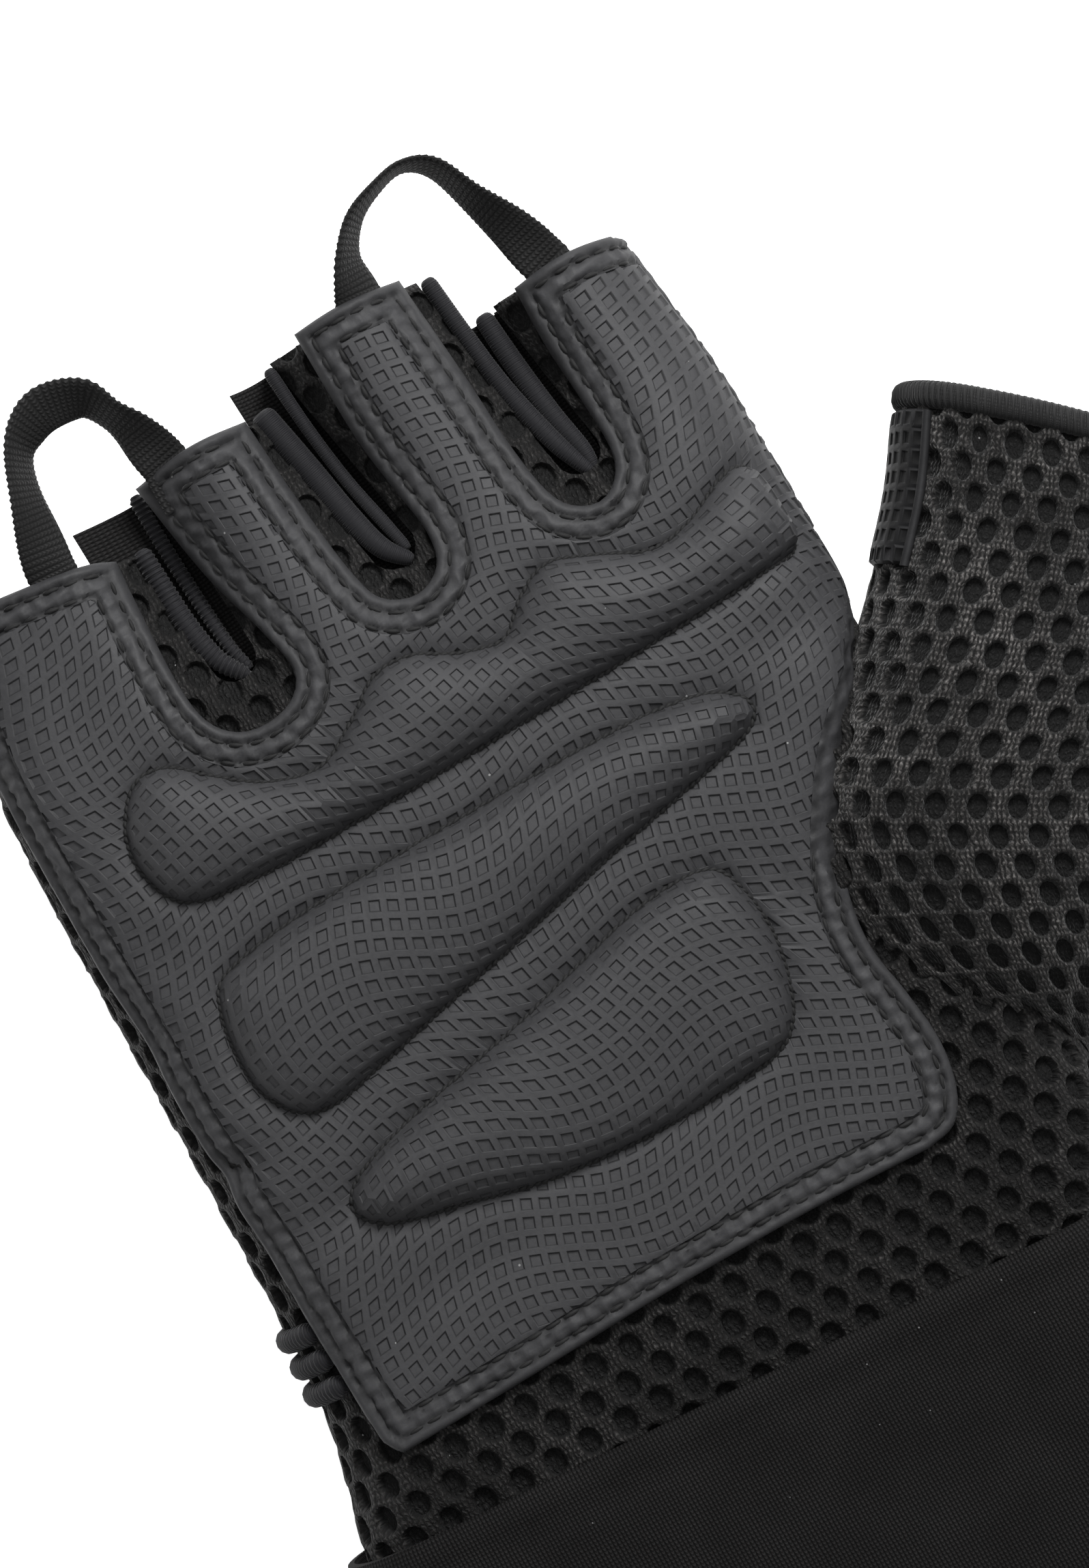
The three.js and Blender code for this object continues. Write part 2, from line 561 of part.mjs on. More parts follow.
// The wrist wrap: one strip wound once round the wrist, whose outer end overlaps under the back.
function wrapBody() {
  const wrist = handSections[0];
  const middle = (PALM_WIDTH * (wrist.left + wrist.right)) / 2;
  const flat = (PALM_WIDTH * (wrist.right - wrist.left)) / 2 - SIDE_ROUND;
  const reach = SIDE_ROUND + WRAP_PLAY + WRAP_WALL / 2;
  const topZ = wrist.top * BODY_HEIGHT + CROWN + WRAP_PLAY + WRAP_WALL / 2;
  const innerZ = 1.5 * WRAP_WALL + WRAP_LAP_GAP;
  const outerZ = WRAP_WALL / 2;
  const line = [new THREE.Vector2(middle - WRAP_LAP_START * PALM_WIDTH, innerZ)];
  const turnRound = (x, lowZ, side, from, to) => {
    for (let i = 0; i <= 8; i++) {
      const angle = THREE.MathUtils.lerp(from, to, i / 8);
      const height = (topZ - lowZ) / 2;
      line.push(
        new THREE.Vector2(x + side * reach * Math.cos(angle), lowZ + height + height * Math.sin(angle)),
      );
    }
  };
  turnRound(middle + flat, innerZ, 1, -Math.PI / 2, Math.PI / 2);
  turnRound(middle - flat, outerZ, -1, Math.PI / 2, -Math.PI / 2);
  line.push(new THREE.Vector2(middle + WRAP_LAP_END * PALM_WIDTH, outerZ));
  const sides = [-1, 1].map((side) =>
    line.map((p, i) => {
      const before = line[Math.max(0, i - 1)];
      const after = line[Math.min(line.length - 1, i + 1)];
      const along = after.clone().sub(before).normalize();
      return new THREE.Vector2(p.x + (side * along.y * WRAP_WALL) / 2, p.y - (side * along.x * WRAP_WALL) / 2);
    }),
  );
  const section = new THREE.Shape([...sides[0], ...sides[1].reverse()]);
  const top = belowHeel(1, 0);
  const room = PALM_WIDTH / 4;
  const strip = new THREE.ExtrudeGeometry(section, { depth: WRAP_HEIGHT + 2 * room, bevelEnabled: false })
    .rotateX(Math.PI / 2)
    .translate(0, top + room, 0);
  const slant = THREE.MathUtils.degToRad(WRAP_SLANT);
  const lowX = middle + WRAP_HEIGHT * Math.sin(slant);
  const lowY = top - WRAP_HEIGHT * Math.cos(slant);
  let wrap = solidOf(strip)
    .subtract(beyond(middle, top, WRAP_SLANT))
    .intersect(beyond(lowX, lowY, WRAP_SLANT));
  const endX = middle + WRAP_LAP_END * PALM_WIDTH;
  const layer = between(-WRAP_WALL, WRAP_WALL + WRAP_LAP_GAP / 2);
  for (const [edgeY, side] of [[top, -1], [lowY, 1]]) {
    const y = edgeY + Math.tan(slant) * (endX - WRAP_CORNER / 2 - (side < 0 ? middle : lowX));
    const corner = new THREE.Shape();
    corner.moveTo(endX - WRAP_CORNER, y - side * WRAP_CORNER);
    corner.lineTo(endX - WRAP_CORNER, y);
    corner.quadraticCurveTo(endX, y, endX, y + side * WRAP_CORNER);
    corner.lineTo(endX + WRAP_CORNER, y + side * WRAP_CORNER);
    corner.lineTo(endX + WRAP_CORNER, y - side * WRAP_CORNER);
    wrap = wrap.subtract(prism(corner, -FAR, FAR).intersect(layer));
  }
  return largestOf(wrap);
}

// An elastic rib: a round cord of knitted edging laid round the outer edge of the hand.
function ribBody(order) {
  const y = alongPalm(RIB_PLACE) + order * RIB_PITCH;
  const { left, top } = handSectionAt(y);
  const out = -RIB_SINK;
  const middle = left * PALM_WIDTH + SIDE_ROUND;
  const height = (top * BODY_HEIGHT) / 2;
  const reach = middle - PANEL_EDGE * PALM_WIDTH + RIB_RADIUS + CLEARANCE;
  const from = Math.acos(-reach / (SIDE_ROUND + out));
  const to = Math.PI * RIB_END;
  const points = Array.from({ length: 9 }, (_, i) => {
    const angle = THREE.MathUtils.lerp(from, to, i / 8);
    return new THREE.Vector3(
      middle + (SIDE_ROUND + out) * Math.cos(angle), y, height + (height + out) * Math.sin(angle),
    );
  });
  const circle = new THREE.Shape().absarc(0, 0, RIB_RADIUS, 0, 2 * Math.PI, false);
  const cord = new THREE.ExtrudeGeometry(circle, {
    extrudePath: new THREE.CatmullRomCurve3(points),
    steps: 12,
    curveSegments: 4,
    bevelEnabled: false,
  });
  return largestOf(solidOf(cord).subtract(handBody(CLEARANCE)));
}

const hand = handBody(0);
const handHollow = handBody(-MESH_WALL, MESH_TUCK);
const thumb = thumbBody(0);
const thumbHollow = thumbBody(-MESH_WALL, HEM_WIDTH);
const loops = pullLoops.map((loop) => ({ name: loop.name, solid: loopBody(loop, 0) }));
const loopPockets = pullLoops.map((loop) => loopBody(loop, CLEARANCE));
const withoutLoops = (solid) => loopPockets.reduce((rest, pocket) => rest.subtract(pocket), solid);

let handShell = hand.subtract(handHollow).intersect(insideMouths()).subtract(thumbHollow);
for (const crotch of crotches) handShell = handShell.subtract(gussetWedge(crotch, 0));
const seam = CLEARANCE / 2;
addPiece("back_mesh", largestOf(handShell.intersect(between(-FAR, SIDE_SEAM_HEIGHT - seam))), mesh);
const palmMesh = handShell.intersect(between(SIDE_SEAM_HEIGHT + seam, FAR));
addPiece("palm_mesh", largestOf(withoutLoops(palmMesh)), mesh);

const panel = handBody(CLEARANCE + LEATHER_WALL)
  .subtract(handBody(CLEARANCE))
  .intersect(prism(panelShape(), SIDE_SEAM_HEIGHT / 2, FAR))
  .subtract(thumbBody(CLEARANCE));
addPiece("palm_panel", largestOf(withoutLoops(panel)), leather);
for (const pad of pads) addPiece(pad.name, padBody(pad), leather);

for (const crotch of crotches) {
  const walls = gussetWedge(crotch, CLEARANCE).subtract(gussetWedge(crotch, CLEARANCE + GUSSET_WALL));
  const gusset = walls
    .intersect(handBody(GUSSET_RISE))
    .intersect(insideMouths())
    .intersect(between(GUSSET_FOOT, FAR));
  addPiece("gusset_" + crotch.name, largestOf(gusset), stretch);
}
for (const { name, solid } of loops) addPiece(name, solid, webbing);

const mouthRow = thumbSections[thumbSections.length - 1];
const mouthTurn = THREE.MathUtils.degToRad(mouthRow.turn);
const mouthX = mouthRow.across * PALM_WIDTH;
const mouthY = mouthRow.along * PALM_LENGTH;
const backFromMouth = (distance) =>
  beyond(mouthX + distance * Math.sin(mouthTurn), mouthY - distance * Math.cos(mouthTurn), mouthRow.turn);
const stall = thumb.subtract(thumbHollow).subtract(handBody(CLEARANCE)).subtract(backFromMouth(HEM_WIDTH));
addPiece("thumb_stall", largestOf(stall), mesh);
const hem = thumbBody(HEM_RISE).subtract(thumbHollow).intersect(backFromMouth(HEM_WIDTH - CLEARANCE));
addPiece("thumb_hem", largestOf(hem), stretch);
const patchEdge = mouthRow.half * THUMB_HALF - THUMB_PATCH_LAP;
const patch = thumbBody(CLEARANCE + LEATHER_WALL)
  .subtract(thumbBody(CLEARANCE))
  .intersect(backFromMouth(HEM_WIDTH + CLEARANCE + THUMB_PATCH_LENGTH))
  .subtract(backFromMouth(HEM_WIDTH + CLEARANCE))
  .intersect(
    beyond(mouthX - patchEdge * Math.cos(mouthTurn), mouthY - patchEdge * Math.sin(mouthTurn), mouthRow.turn + 90),
  )
  .intersect(between(MESH_WALL, FAR))
  .subtract(handBody(2 * CLEARANCE + LEATHER_WALL));
addPiece("thumb_patch", largestOf(patch), leather);

addPiece("wrist_wrap", wrapBody(), jersey);
addPiece("wrap_fastener", fastenerBody(), stretch);
for (const order of [-1, 0, 1]) addPiece("side_rib_" + (order + 2), ribBody(order), stretch);

export default glove;
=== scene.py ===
# %% [markdown]
# # A weightlifting glove
# The glove lies on its back, palm up. It is sewn from five cloths: embossed synthetic leather on the
# palm, an open spacer mesh for the body and the thumb, ribbed stretch cloth between the fingers,
# woven webbing for the pull loops and a fine knit for the wrist wrap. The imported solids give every
# piece its place. This file sews the visible glove over them, cloth by cloth.

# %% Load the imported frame
import math

import bmesh
import bpy
import numpy as np
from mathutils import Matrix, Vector


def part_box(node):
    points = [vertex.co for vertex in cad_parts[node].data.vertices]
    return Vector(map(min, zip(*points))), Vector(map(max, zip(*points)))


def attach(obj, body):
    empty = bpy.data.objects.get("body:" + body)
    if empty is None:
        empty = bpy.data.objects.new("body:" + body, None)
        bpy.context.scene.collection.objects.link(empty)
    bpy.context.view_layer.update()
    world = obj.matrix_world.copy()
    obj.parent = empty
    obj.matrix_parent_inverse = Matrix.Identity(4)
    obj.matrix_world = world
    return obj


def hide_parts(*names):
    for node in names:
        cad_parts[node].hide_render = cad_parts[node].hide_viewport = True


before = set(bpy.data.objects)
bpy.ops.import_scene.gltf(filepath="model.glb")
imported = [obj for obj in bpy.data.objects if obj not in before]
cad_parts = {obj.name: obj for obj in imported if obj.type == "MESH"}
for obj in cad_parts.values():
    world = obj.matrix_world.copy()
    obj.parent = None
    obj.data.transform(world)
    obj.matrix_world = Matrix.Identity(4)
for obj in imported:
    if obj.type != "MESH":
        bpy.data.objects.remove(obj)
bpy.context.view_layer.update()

# %% [markdown]
# ## The camera and the light
# The photograph looks straight down on the glove, which is turned 30 degrees. A long lens from
# above keeps the sides from showing. A camera that looks along its own -Z is built from its right
# and up directions, which is easier to read than three angles.

# %% Camera over the palm
MM = 0.001
LOOK_AT = Vector((7.46, 19.01, 22.0)) * MM
CAMERA_DISTANCE = 0.62
SEEN_HEIGHT = 191.4 * MM
TURN = math.radians(30.0)

camera_data = bpy.data.cameras.new("camera")
camera = bpy.data.objects.new("camera", camera_data)
bpy.context.scene.collection.objects.link(camera)
camera.location = LOOK_AT + Vector((0.0, 0.0, CAMERA_DISTANCE))
camera.rotation_euler = (0.0, 0.0, -TURN)
camera_data.sensor_fit = "VERTICAL"
camera_data.sensor_height = 36.0
camera_data.lens = 36.0 * CAMERA_DISTANCE / SEEN_HEIGHT
bpy.context.scene.camera = camera

# %% Soft studio light
def area_light(name, place, aim, size, power):
    """Adds a square soft light that points at a place on the glove."""
    data = bpy.data.lights.new(name, "AREA")
    data.shape = "SQUARE"
    data.size = size
    data.energy = power
    light = bpy.data.objects.new(name, data)
    light.location = place
    light.rotation_euler = (Vector(aim) - Vector(place)).to_track_quat("-Z", "Y").to_euler()
    bpy.context.scene.collection.objects.link(light)
    return light


# Up in the picture is (0.5, 0.866), and right in the picture is (0.866, -0.5).
area_light("key", (0.34, 0.40, 0.50), (-0.01, 0.0, 0.02), 0.24, 5.8)
area_light("fill", (0.02, 0.16, 0.75), (0.0, 0.0, 0.02), 0.5, 1.4)

world = bpy.data.worlds.new("studio")
world.use_nodes = True
backdrop = world.node_tree.nodes["Background"]
backdrop.inputs["Color"].default_value = (1.0, 1.0, 1.0, 1.0)
backdrop.inputs["Strength"].default_value = 0.33
bpy.context.scene.world = world
bpy.context.scene.view_settings.view_transform = "Standard"

# %% Pale floor
bpy.ops.object.select_all(action="DESELECT")
bpy.ops.mesh.primitive_plane_add(size=3.0, location=(0.0, 0.0, 0.0))
floor = bpy.context.object
floor.name = "floor"
floor_paint = bpy.data.materials.new("floor_paint")
floor_paint.use_nodes = True
floor_inputs = floor_paint.node_tree.nodes["Principled BSDF"].inputs
floor_inputs["Base Color"].default_value = (0.9, 0.9, 0.9, 1.0)
floor_inputs["Roughness"].default_value = 0.9
floor_inputs["Emission Color"].default_value = (1.0, 1.0, 1.0, 1.0)
floor_inputs["Emission Strength"].default_value = 0.8
floor.data.materials.append(floor_paint)

# %% [markdown]
# ## Finishes
# Every cloth has its own procedural finish. Four effects are shared, and each is a node group built
# once: the uneven tone of dyed fibre, tiny light specks of lint, the loops of a knit and the wear
# along raised edges. Each finish places the groups with its own values. Fine patterns follow the
# cloth map, which holds the place on the flat cloth in centimetres, so they bend with the cloth.

# %% Helpers for node trees
def add_node(tree, kind, settings=None, **links):
    """Adds a node. Each link is a socket to take from, or a plain value."""
    made = tree.nodes.new(kind)
    for name, value in (settings or {}).items():
        setattr(made, name, value)
    for name, source in links.items():
        by_number = name[1:].isdigit()
        socket = made.inputs[int(name[1:]) if by_number else name.replace("_", " ")]
        if isinstance(source, bpy.types.NodeSocket):
            tree.links.new(source, socket)
        else:
            socket.default_value = source
    return made


def calc(tree, operation, a, b=0.0, c=0.0, clamp=False):
    """One step of arithmetic."""
    settings = {"operation": operation, "use_clamp": clamp}
    return add_node(tree, "ShaderNodeMath", settings, i0=a, i1=b, i2=c).outputs[0]


def blend_colours(tree, share, first, second):
    """A mix of two colours."""
    made = add_node(tree, "ShaderNodeMix", {"data_type": "RGBA"}, i0=share)
    for index, colour in ((6, first), (7, second)):
        if isinstance(colour, bpy.types.NodeSocket):
            tree.links.new(colour, made.inputs[index])
        else:
            made.inputs[index].default_value = (*colour, 1.0)
    return made.outputs[2]


def stretch_range(tree, value, low, high, to_low=0.0, to_high=1.0):
    """Maps a range of values to another, and clamps it."""
    made = add_node(tree, "ShaderNodeMapRange", None, Value=value)
    for index, number in enumerate((low, high, to_low, to_high), start=1):
        made.inputs[index].default_value = number
    return made.outputs[0]


def effect_group(name, inputs, outputs):
    """An empty node group with named sockets."""
    group = bpy.data.node_groups.new(name, "ShaderNodeTree")
    for socket, kind in inputs:
        group.interface.new_socket(name=socket, in_out="INPUT", socket_type="NodeSocket" + kind)
    for socket, kind in outputs:
        group.interface.new_socket(name=socket, in_out="OUTPUT", socket_type="NodeSocket" + kind)
    return group, group.nodes.new("NodeGroupInput"), group.nodes.new("NodeGroupOutput")


# %% Shared effects
dyed_fibre, take, give = effect_group("dyed_fibre", [("Place", "Vector"), ("Scale", "Float")],
                                      [("Tone", "Float"), ("Height", "Float")])
fine = add_node(dyed_fibre, "ShaderNodeTexNoise", None, Vector=take.outputs["Place"],
                Scale=take.outputs["Scale"], Detail=4.0, Roughness=0.6).outputs[0]
broad_scale = calc(dyed_fibre, "MULTIPLY", take.outputs["Scale"], 0.045)
broad = add_node(dyed_fibre, "ShaderNodeTexNoise", None, Vector=take.outputs["Place"], Scale=broad_scale,
                 Detail=2.0).outputs[0]
fine_share = calc(dyed_fibre, "MULTIPLY", fine, 0.6)
broad_share = calc(dyed_fibre, "MULTIPLY", broad, 0.4)
tone = calc(dyed_fibre, "ADD", fine_share, broad_share)
dyed_fibre.links.new(stretch_range(dyed_fibre, tone, 0.32, 0.68), give.inputs["Tone"])
dyed_fibre.links.new(fine, give.inputs["Height"])

lint_inputs = [("Place", "Vector"), ("Scale", "Float"), ("Share", "Float")]
lint_specks, take, give = effect_group("lint_specks", lint_inputs, [("Mask", "Float")])
cells = add_node(lint_specks, "ShaderNodeTexVoronoi", None, Vector=take.outputs["Place"],
                 Scale=take.outputs["Scale"])
parts = add_node(lint_specks, "ShaderNodeSeparateColor", None, Color=cells.outputs["Color"])
near = calc(lint_specks, "LESS_THAN", cells.outputs["Distance"], 0.13)
chosen = calc(lint_specks, "LESS_THAN", parts.outputs[0], take.outputs["Share"])
lint_specks.links.new(calc(lint_specks, "MULTIPLY", near, chosen), give.inputs["Mask"])

knit_inputs = [("Cloth", "Vector"), ("Wale", "Float"), ("Course", "Float"), ("Wander", "Float")]
knit_loops, take, give = effect_group("knit_loops", knit_inputs, [("Height", "Float")])
wander = add_node(knit_loops, "ShaderNodeTexNoise", None, Vector=take.outputs["Cloth"], Scale=9.0, Detail=3.0)
drift = add_node(knit_loops, "ShaderNodeVectorMath", {"operation": "SCALE"}, i0=wander.outputs["Color"],
                 Scale=take.outputs["Wander"]).outputs[0]
moved = add_node(knit_loops, "ShaderNodeVectorMath", {"operation": "ADD"}, i0=take.outputs["Cloth"], i1=drift)
parts = add_node(knit_loops, "ShaderNodeSeparateXYZ", None, Vector=moved.outputs[0])
wales = calc(knit_loops, "DIVIDE", parts.outputs[0], take.outputs["Wale"])
in_wale = calc(knit_loops, "ABSOLUTE", calc(knit_loops, "SUBTRACT", calc(knit_loops, "FRACT", wales), 0.5))
in_courses = calc(knit_loops, "DIVIDE", parts.outputs[1], take.outputs["Course"])
courses = calc(knit_loops, "ADD", in_courses, in_wale)
course_wave = calc(knit_loops, "SINE", calc(knit_loops, "MULTIPLY", courses, 2 * math.pi))
wale_hump = calc(knit_loops, "SINE", calc(knit_loops, "MULTIPLY", calc(knit_loops, "FRACT", wales), math.pi))
loops = calc(knit_loops, "MULTIPLY", wale_hump, calc(knit_loops, "MULTIPLY_ADD", course_wave, 0.3, 0.7))
knit_loops.links.new(loops, give.inputs["Height"])

worn_edge, take, give = effect_group("worn_edge", [("Place", "Vector"), ("Amount", "Float")],
                                     [("Mask", "Float")])
corner = add_node(worn_edge, "ShaderNodeNewGeometry").outputs["Pointiness"]
patchy = add_node(worn_edge, "ShaderNodeTexNoise", None, Vector=take.outputs["Place"], Scale=220.0,
                  Detail=3.0).outputs[0]
raised = stretch_range(worn_edge, corner, 0.5, 0.56)
in_patches = calc(worn_edge, "MULTIPLY", raised, patchy)
mask = calc(worn_edge, "MULTIPLY", in_patches, take.outputs["Amount"], clamp=True)
worn_edge.links.new(mask, give.inputs["Mask"])
print("shared effects:", [g.name for g in bpy.data.node_groups])


# %% Start a finish
def start_finish(name, sheen=0.0, specular=0.5):
    """A material with its tree, its shader, and the places on the piece and on the cloth."""
    finish = bpy.data.materials.new(name)
    finish.use_nodes = True
    tree = finish.node_tree
    shader = tree.nodes["Principled BSDF"]
    shader.inputs["Sheen Weight"].default_value = sheen
    shader.inputs["Sheen Roughness"].default_value = 0.4
    shader.inputs["Specular IOR Level"].default_value = specular
    place = add_node(tree, "ShaderNodeTexCoord").outputs["Object"]
    cloth = add_node(tree, "ShaderNodeUVMap", {"uv_map": "cloth"}).outputs[0]
    return finish, tree, shader, place, cloth


def use_group(tree, group, **links):
    """Places a shared effect."""
    return add_node(tree, "ShaderNodeGroup", {"node_tree": group}, **links)


def set_bump(tree, shader, height, distance, strength=1.0):
    """Feeds a height to the shader's normal."""
    bump = add_node(tree, "ShaderNodeBump", None, Height=height, Distance=distance, Strength=strength)
    tree.links.new(bump.outputs[0], shader.inputs["Normal"])


def read_hollow(tree):
    """How deep a place lies in the relief, from nought to one; on the panel's border it holds painted shade
    instead.
    """
    return add_node(tree, "ShaderNodeAttribute", {"attribute_name": "hollow"}).outputs["Fac"]


# %% Synthetic leather
def leather_finish(name, ridge_low, ridge_high, specular):
    """Satin black leather: even ridges, painted shade on the walls round each pit, fine grain and a few
    specks.
    """
    finish, tree, shader, place, _ = start_finish(name, specular=specular)
    fibre = use_group(tree, dyed_fibre, Place=place, Scale=1400.0)
    specks = use_group(tree, lint_specks, Place=place, Scale=900.0, Share=0.006)
    worn = use_group(tree, worn_edge, Place=place, Amount=0.8)
    ridge = blend_colours(tree, fibre.outputs["Tone"], ridge_low, ridge_high)
    hollow = read_hollow(tree)
    # Painted shade: the colour darkens on the pits' walls, by how deep each place lies.
    sunk = calc(tree, "MULTIPLY", hollow, 2.0)
    wall = calc(tree, "MULTIPLY", sunk, calc(tree, "SUBTRACT", 1.0, hollow), clamp=True)
    painted_pit_shade = blend_colours(tree, wall, ridge, (0.003, 0.003, 0.003))
    edged = blend_colours(tree, worn.outputs["Mask"], painted_pit_shade, (0.033, 0.033, 0.035))
    colour = blend_colours(tree, specks.outputs["Mask"], edged, (0.22, 0.22, 0.22))
    tree.links.new(colour, shader.inputs["Base Color"])
    tree.links.new(stretch_range(tree, fibre.outputs["Tone"], 0, 1, 0.52, 0.68), shader.inputs["Roughness"])
    set_bump(tree, shader, fibre.outputs["Height"], 0.00009, 0.6)
    return finish


# %% Spacer mesh
def mesh_finish(name, light, sheen):
    """Warm black yarn round the holes, painted lighter on its loops as painted highlight, over holes painted
    nearly black as painted shade.
    """
    finish, tree, shader, place, cloth = start_finish(name, sheen=sheen, specular=0.25)
    fibre = use_group(tree, dyed_fibre, Place=place, Scale=2300.0)
    knit = use_group(tree, knit_loops, Cloth=cloth, Wale=0.062, Course=0.085, Wander=0.11)
    specks = use_group(tree, lint_specks, Place=place, Scale=1100.0, Share=0.008)
    # Painted highlight and shade: the yarn is lighter on its loops' crests and darker between them.
    uneven = calc(tree, "MULTIPLY", knit.outputs["Height"], fibre.outputs["Tone"], clamp=True)
    painted_loop_light = calc(tree, "POWER", uneven, 1.8)
    yarn = blend_colours(tree, painted_loop_light, (0.0030, 0.0028, 0.0027), light)
    # Painted shade: the holes' walls and floors are painted nearly black, by how deep each place lies.
    depth = stretch_range(tree, read_hollow(tree), 0.25, 0.8)
    hole_shade = blend_colours(tree, fibre.outputs["Tone"], (0.001, 0.001, 0.001), (0.005, 0.005, 0.005))
    colour = blend_colours(tree, depth, yarn, hole_shade)
    colour = blend_colours(tree, specks.outputs["Mask"], colour, (0.2, 0.2, 0.2))
    tree.links.new(colour, shader.inputs["Base Color"])
    tree.links.new(stretch_range(tree, knit.outputs["Height"], 0, 1, 0.85, 0.6), shader.inputs["Roughness"])
    height = calc(tree, "ADD", knit.outputs["Height"], calc(tree, "MULTIPLY", fibre.outputs["Height"], 0.8))
    set_bump(tree, shader, height, 0.00022)
    return finish


# %% Stretch cloth, webbing, knit and thread
def knit_finish(name, dark, light, wale, course, depth, sheen=0.1, specks_share=0.0, specular=0.3):
    """A plain knit or weave: loops, uneven dye, lint, and painted highlight on the loops with painted shade
    between them.
    """
    finish, tree, shader, place, cloth = start_finish(name, sheen=sheen, specular=specular)
    fibre = use_group(tree, dyed_fibre, Place=place, Scale=2600.0)
    knit = use_group(tree, knit_loops, Cloth=cloth, Wale=wale, Course=course, Wander=0.02)
    # Painted highlight and shade: the colour is lighter on the loops' crests and darker between them.
    uneven = calc(tree, "MULTIPLY_ADD", fibre.outputs["Tone"], 0.6, 0.5)
    painted_loop_light = calc(tree, "MULTIPLY", knit.outputs["Height"], uneven, clamp=True)
    colour = blend_colours(tree, painted_loop_light, dark, light)
    if specks_share:
        specks = use_group(tree, lint_specks, Place=place, Scale=1300.0, Share=specks_share)
        colour = blend_colours(tree, specks.outputs["Mask"], colour, (0.16, 0.16, 0.16))
    tree.links.new(colour, shader.inputs["Base Color"])
    tree.links.new(stretch_range(tree, knit.outputs["Height"], 0, 1, 0.85, 0.62), shader.inputs["Roughness"])
    height = calc(tree, "ADD", knit.outputs["Height"], calc(tree, "MULTIPLY", fibre.outputs["Height"], 0.35))
    set_bump(tree, shader, height, depth)
    return finish


FINISHES = {
    "leather": leather_finish("embossed_leather", (0.034, 0.034, 0.036), (0.049, 0.049, 0.0515), 0.24),
    # The thumb patch's leather is a darker copy of the palm leather: painted shade on the thumb's side.
    "shaded_leather": leather_finish("shaded_leather", (0.005, 0.005, 0.0052), (0.008, 0.008, 0.0084), 0.15),
    "mesh": mesh_finish("spacer_mesh", (0.24, 0.228, 0.22), 0.1),
    # The body's spacer mesh is a darker copy of the thumb's, as painted shade where it shows in the crotches
    # and along the palm's edges.
    "shaded_mesh": mesh_finish("shaded_spacer_mesh", (0.06, 0.057, 0.055), 0.02),
    "stretch": knit_finish("stretch_cloth", (0.005, 0.005, 0.0062), (0.0125, 0.0122, 0.0152), 0.025, 0.4,
                           0.00007),
    "webbing": knit_finish("webbing", (0.003, 0.003, 0.003), (0.016, 0.0157, 0.0157), 0.075, 0.055,
                           0.00012),
    "wrap": knit_finish("wrap_knit", (0.0015, 0.0014, 0.0014), (0.023, 0.0222, 0.0222), 0.05, 0.05, 0.0001,
                        specks_share=0.015, sheen=0.0, specular=0.08),
    "thread": knit_finish("sewing_thread", (0.004, 0.004, 0.004), (0.018, 0.018, 0.0185), 0.03, 0.03,
                          0.00005),
}
print("finishes:", list(FINISHES))


# %% [markdown]
# ## The form that the cloths lie on
# A glove's pieces are flat patterns sewn into a round form. So each piece is drawn flat here, cut
# out, given its relief, and only then laid on the form. The form is a table of sections from the
# wrist to the finger mouths, the same as the solids have. `lay` takes a place on the flat cloth
# and gives its place in space.

# %% Sections of the hand, in millimetres
# Each row holds y, left edge, right edge, height of the palm and how far the back is lifted.
HAND = np.array([
    (-68.3, -60.0, 42.2, 22.3, 6.1), (-57.7, -60.0, 43.5, 22.3, 6.1), (-51.9, -59.6, 49.0, 22.3, 6.1),
    (-42.5, -56.8, 50.2, 22.3, 0.0), (-32.3, -54.8, 49.2, 22.3, 0.0), (-17.0, -54.2, 47.5, 22.7, 0.0),
    (1.7, -53.8, 49.2, 23.0, 0.0), (17.0, -53.5, 51.3, 23.0, 0.0), (32.3, -53.3, 51.1, 22.3, 0.0),
    (47.2, -52.8, 51.0, 21.2, 0.0), (56.5, -51.7, 50.5, 19.6, 0.0), (65.9, -50.3, 49.3, 18.2, 0.0),
    (75.3, -48.7, 48.3, 17.3, 0.0), (86.2, -47.4, 46.0, 16.6, 0.0),
])
SIDE_ROUND = 11.0
CROWN = 1.2
MESH_WALL = 2.2
LEATHER = 1.2
CLEARANCE = 0.3


def soften(table, reach=3.0):
    """Samples a table every millimetre along y and rounds its corners."""
    y = np.arange(table[0, 0] - 12, table[-1, 0] + 12, 1.0)
    bell = np.exp(-0.5 * (np.arange(-12, 13) / reach) ** 2)
    bell /= bell.sum()
    stepped = [np.pad(np.interp(y, table[:, 0], column), 12, "edge") for column in table.T[1:]]
    return np.column_stack([y] + [np.convolve(column, bell, "valid") for column in stepped])


HAND_SOFT = soften(HAND)


def hand_at(y):
    """Middle, half of the flat width, centre height, half height of the hand at y."""
    left, right, top, lift = (np.interp(y, HAND_SOFT[:, 0], HAND_SOFT[:, i]) for i in (1, 2, 3, 4))
    return (left + right) / 2, (right - left) / 2 - SIDE_ROUND, (top + lift) / 2, (top - lift) / 2


# %% Valleys between the fingers
# Each crotch has the foot of its gusset and the place where it meets the mouths.
CROTCHES = {
    "little_ring": ((-18.0, 49.0), (-20.3, 81.5)),
    "ring_middle": ((5.8, 51.1), (0.9, 81.5)),
    "middle_index": ((31.3, 49.9), (27.7, 81.5)),
}
VALLEY_DEPTH = 7.0
VALLEY_SPREAD = 6.5


def smooth_step(t):
    """Rises softly from nought to one."""
    t = np.clip(t, 0.0, 1.0)
    return t * t * (3.0 - 2.0 * t)


def quarter_round(depth, reach):
    """Rises from nought at an edge to one at its reach, like a quarter of a circle."""
    return np.sqrt(1 - (1 - np.clip(depth / reach, 0, 1)) ** 2)


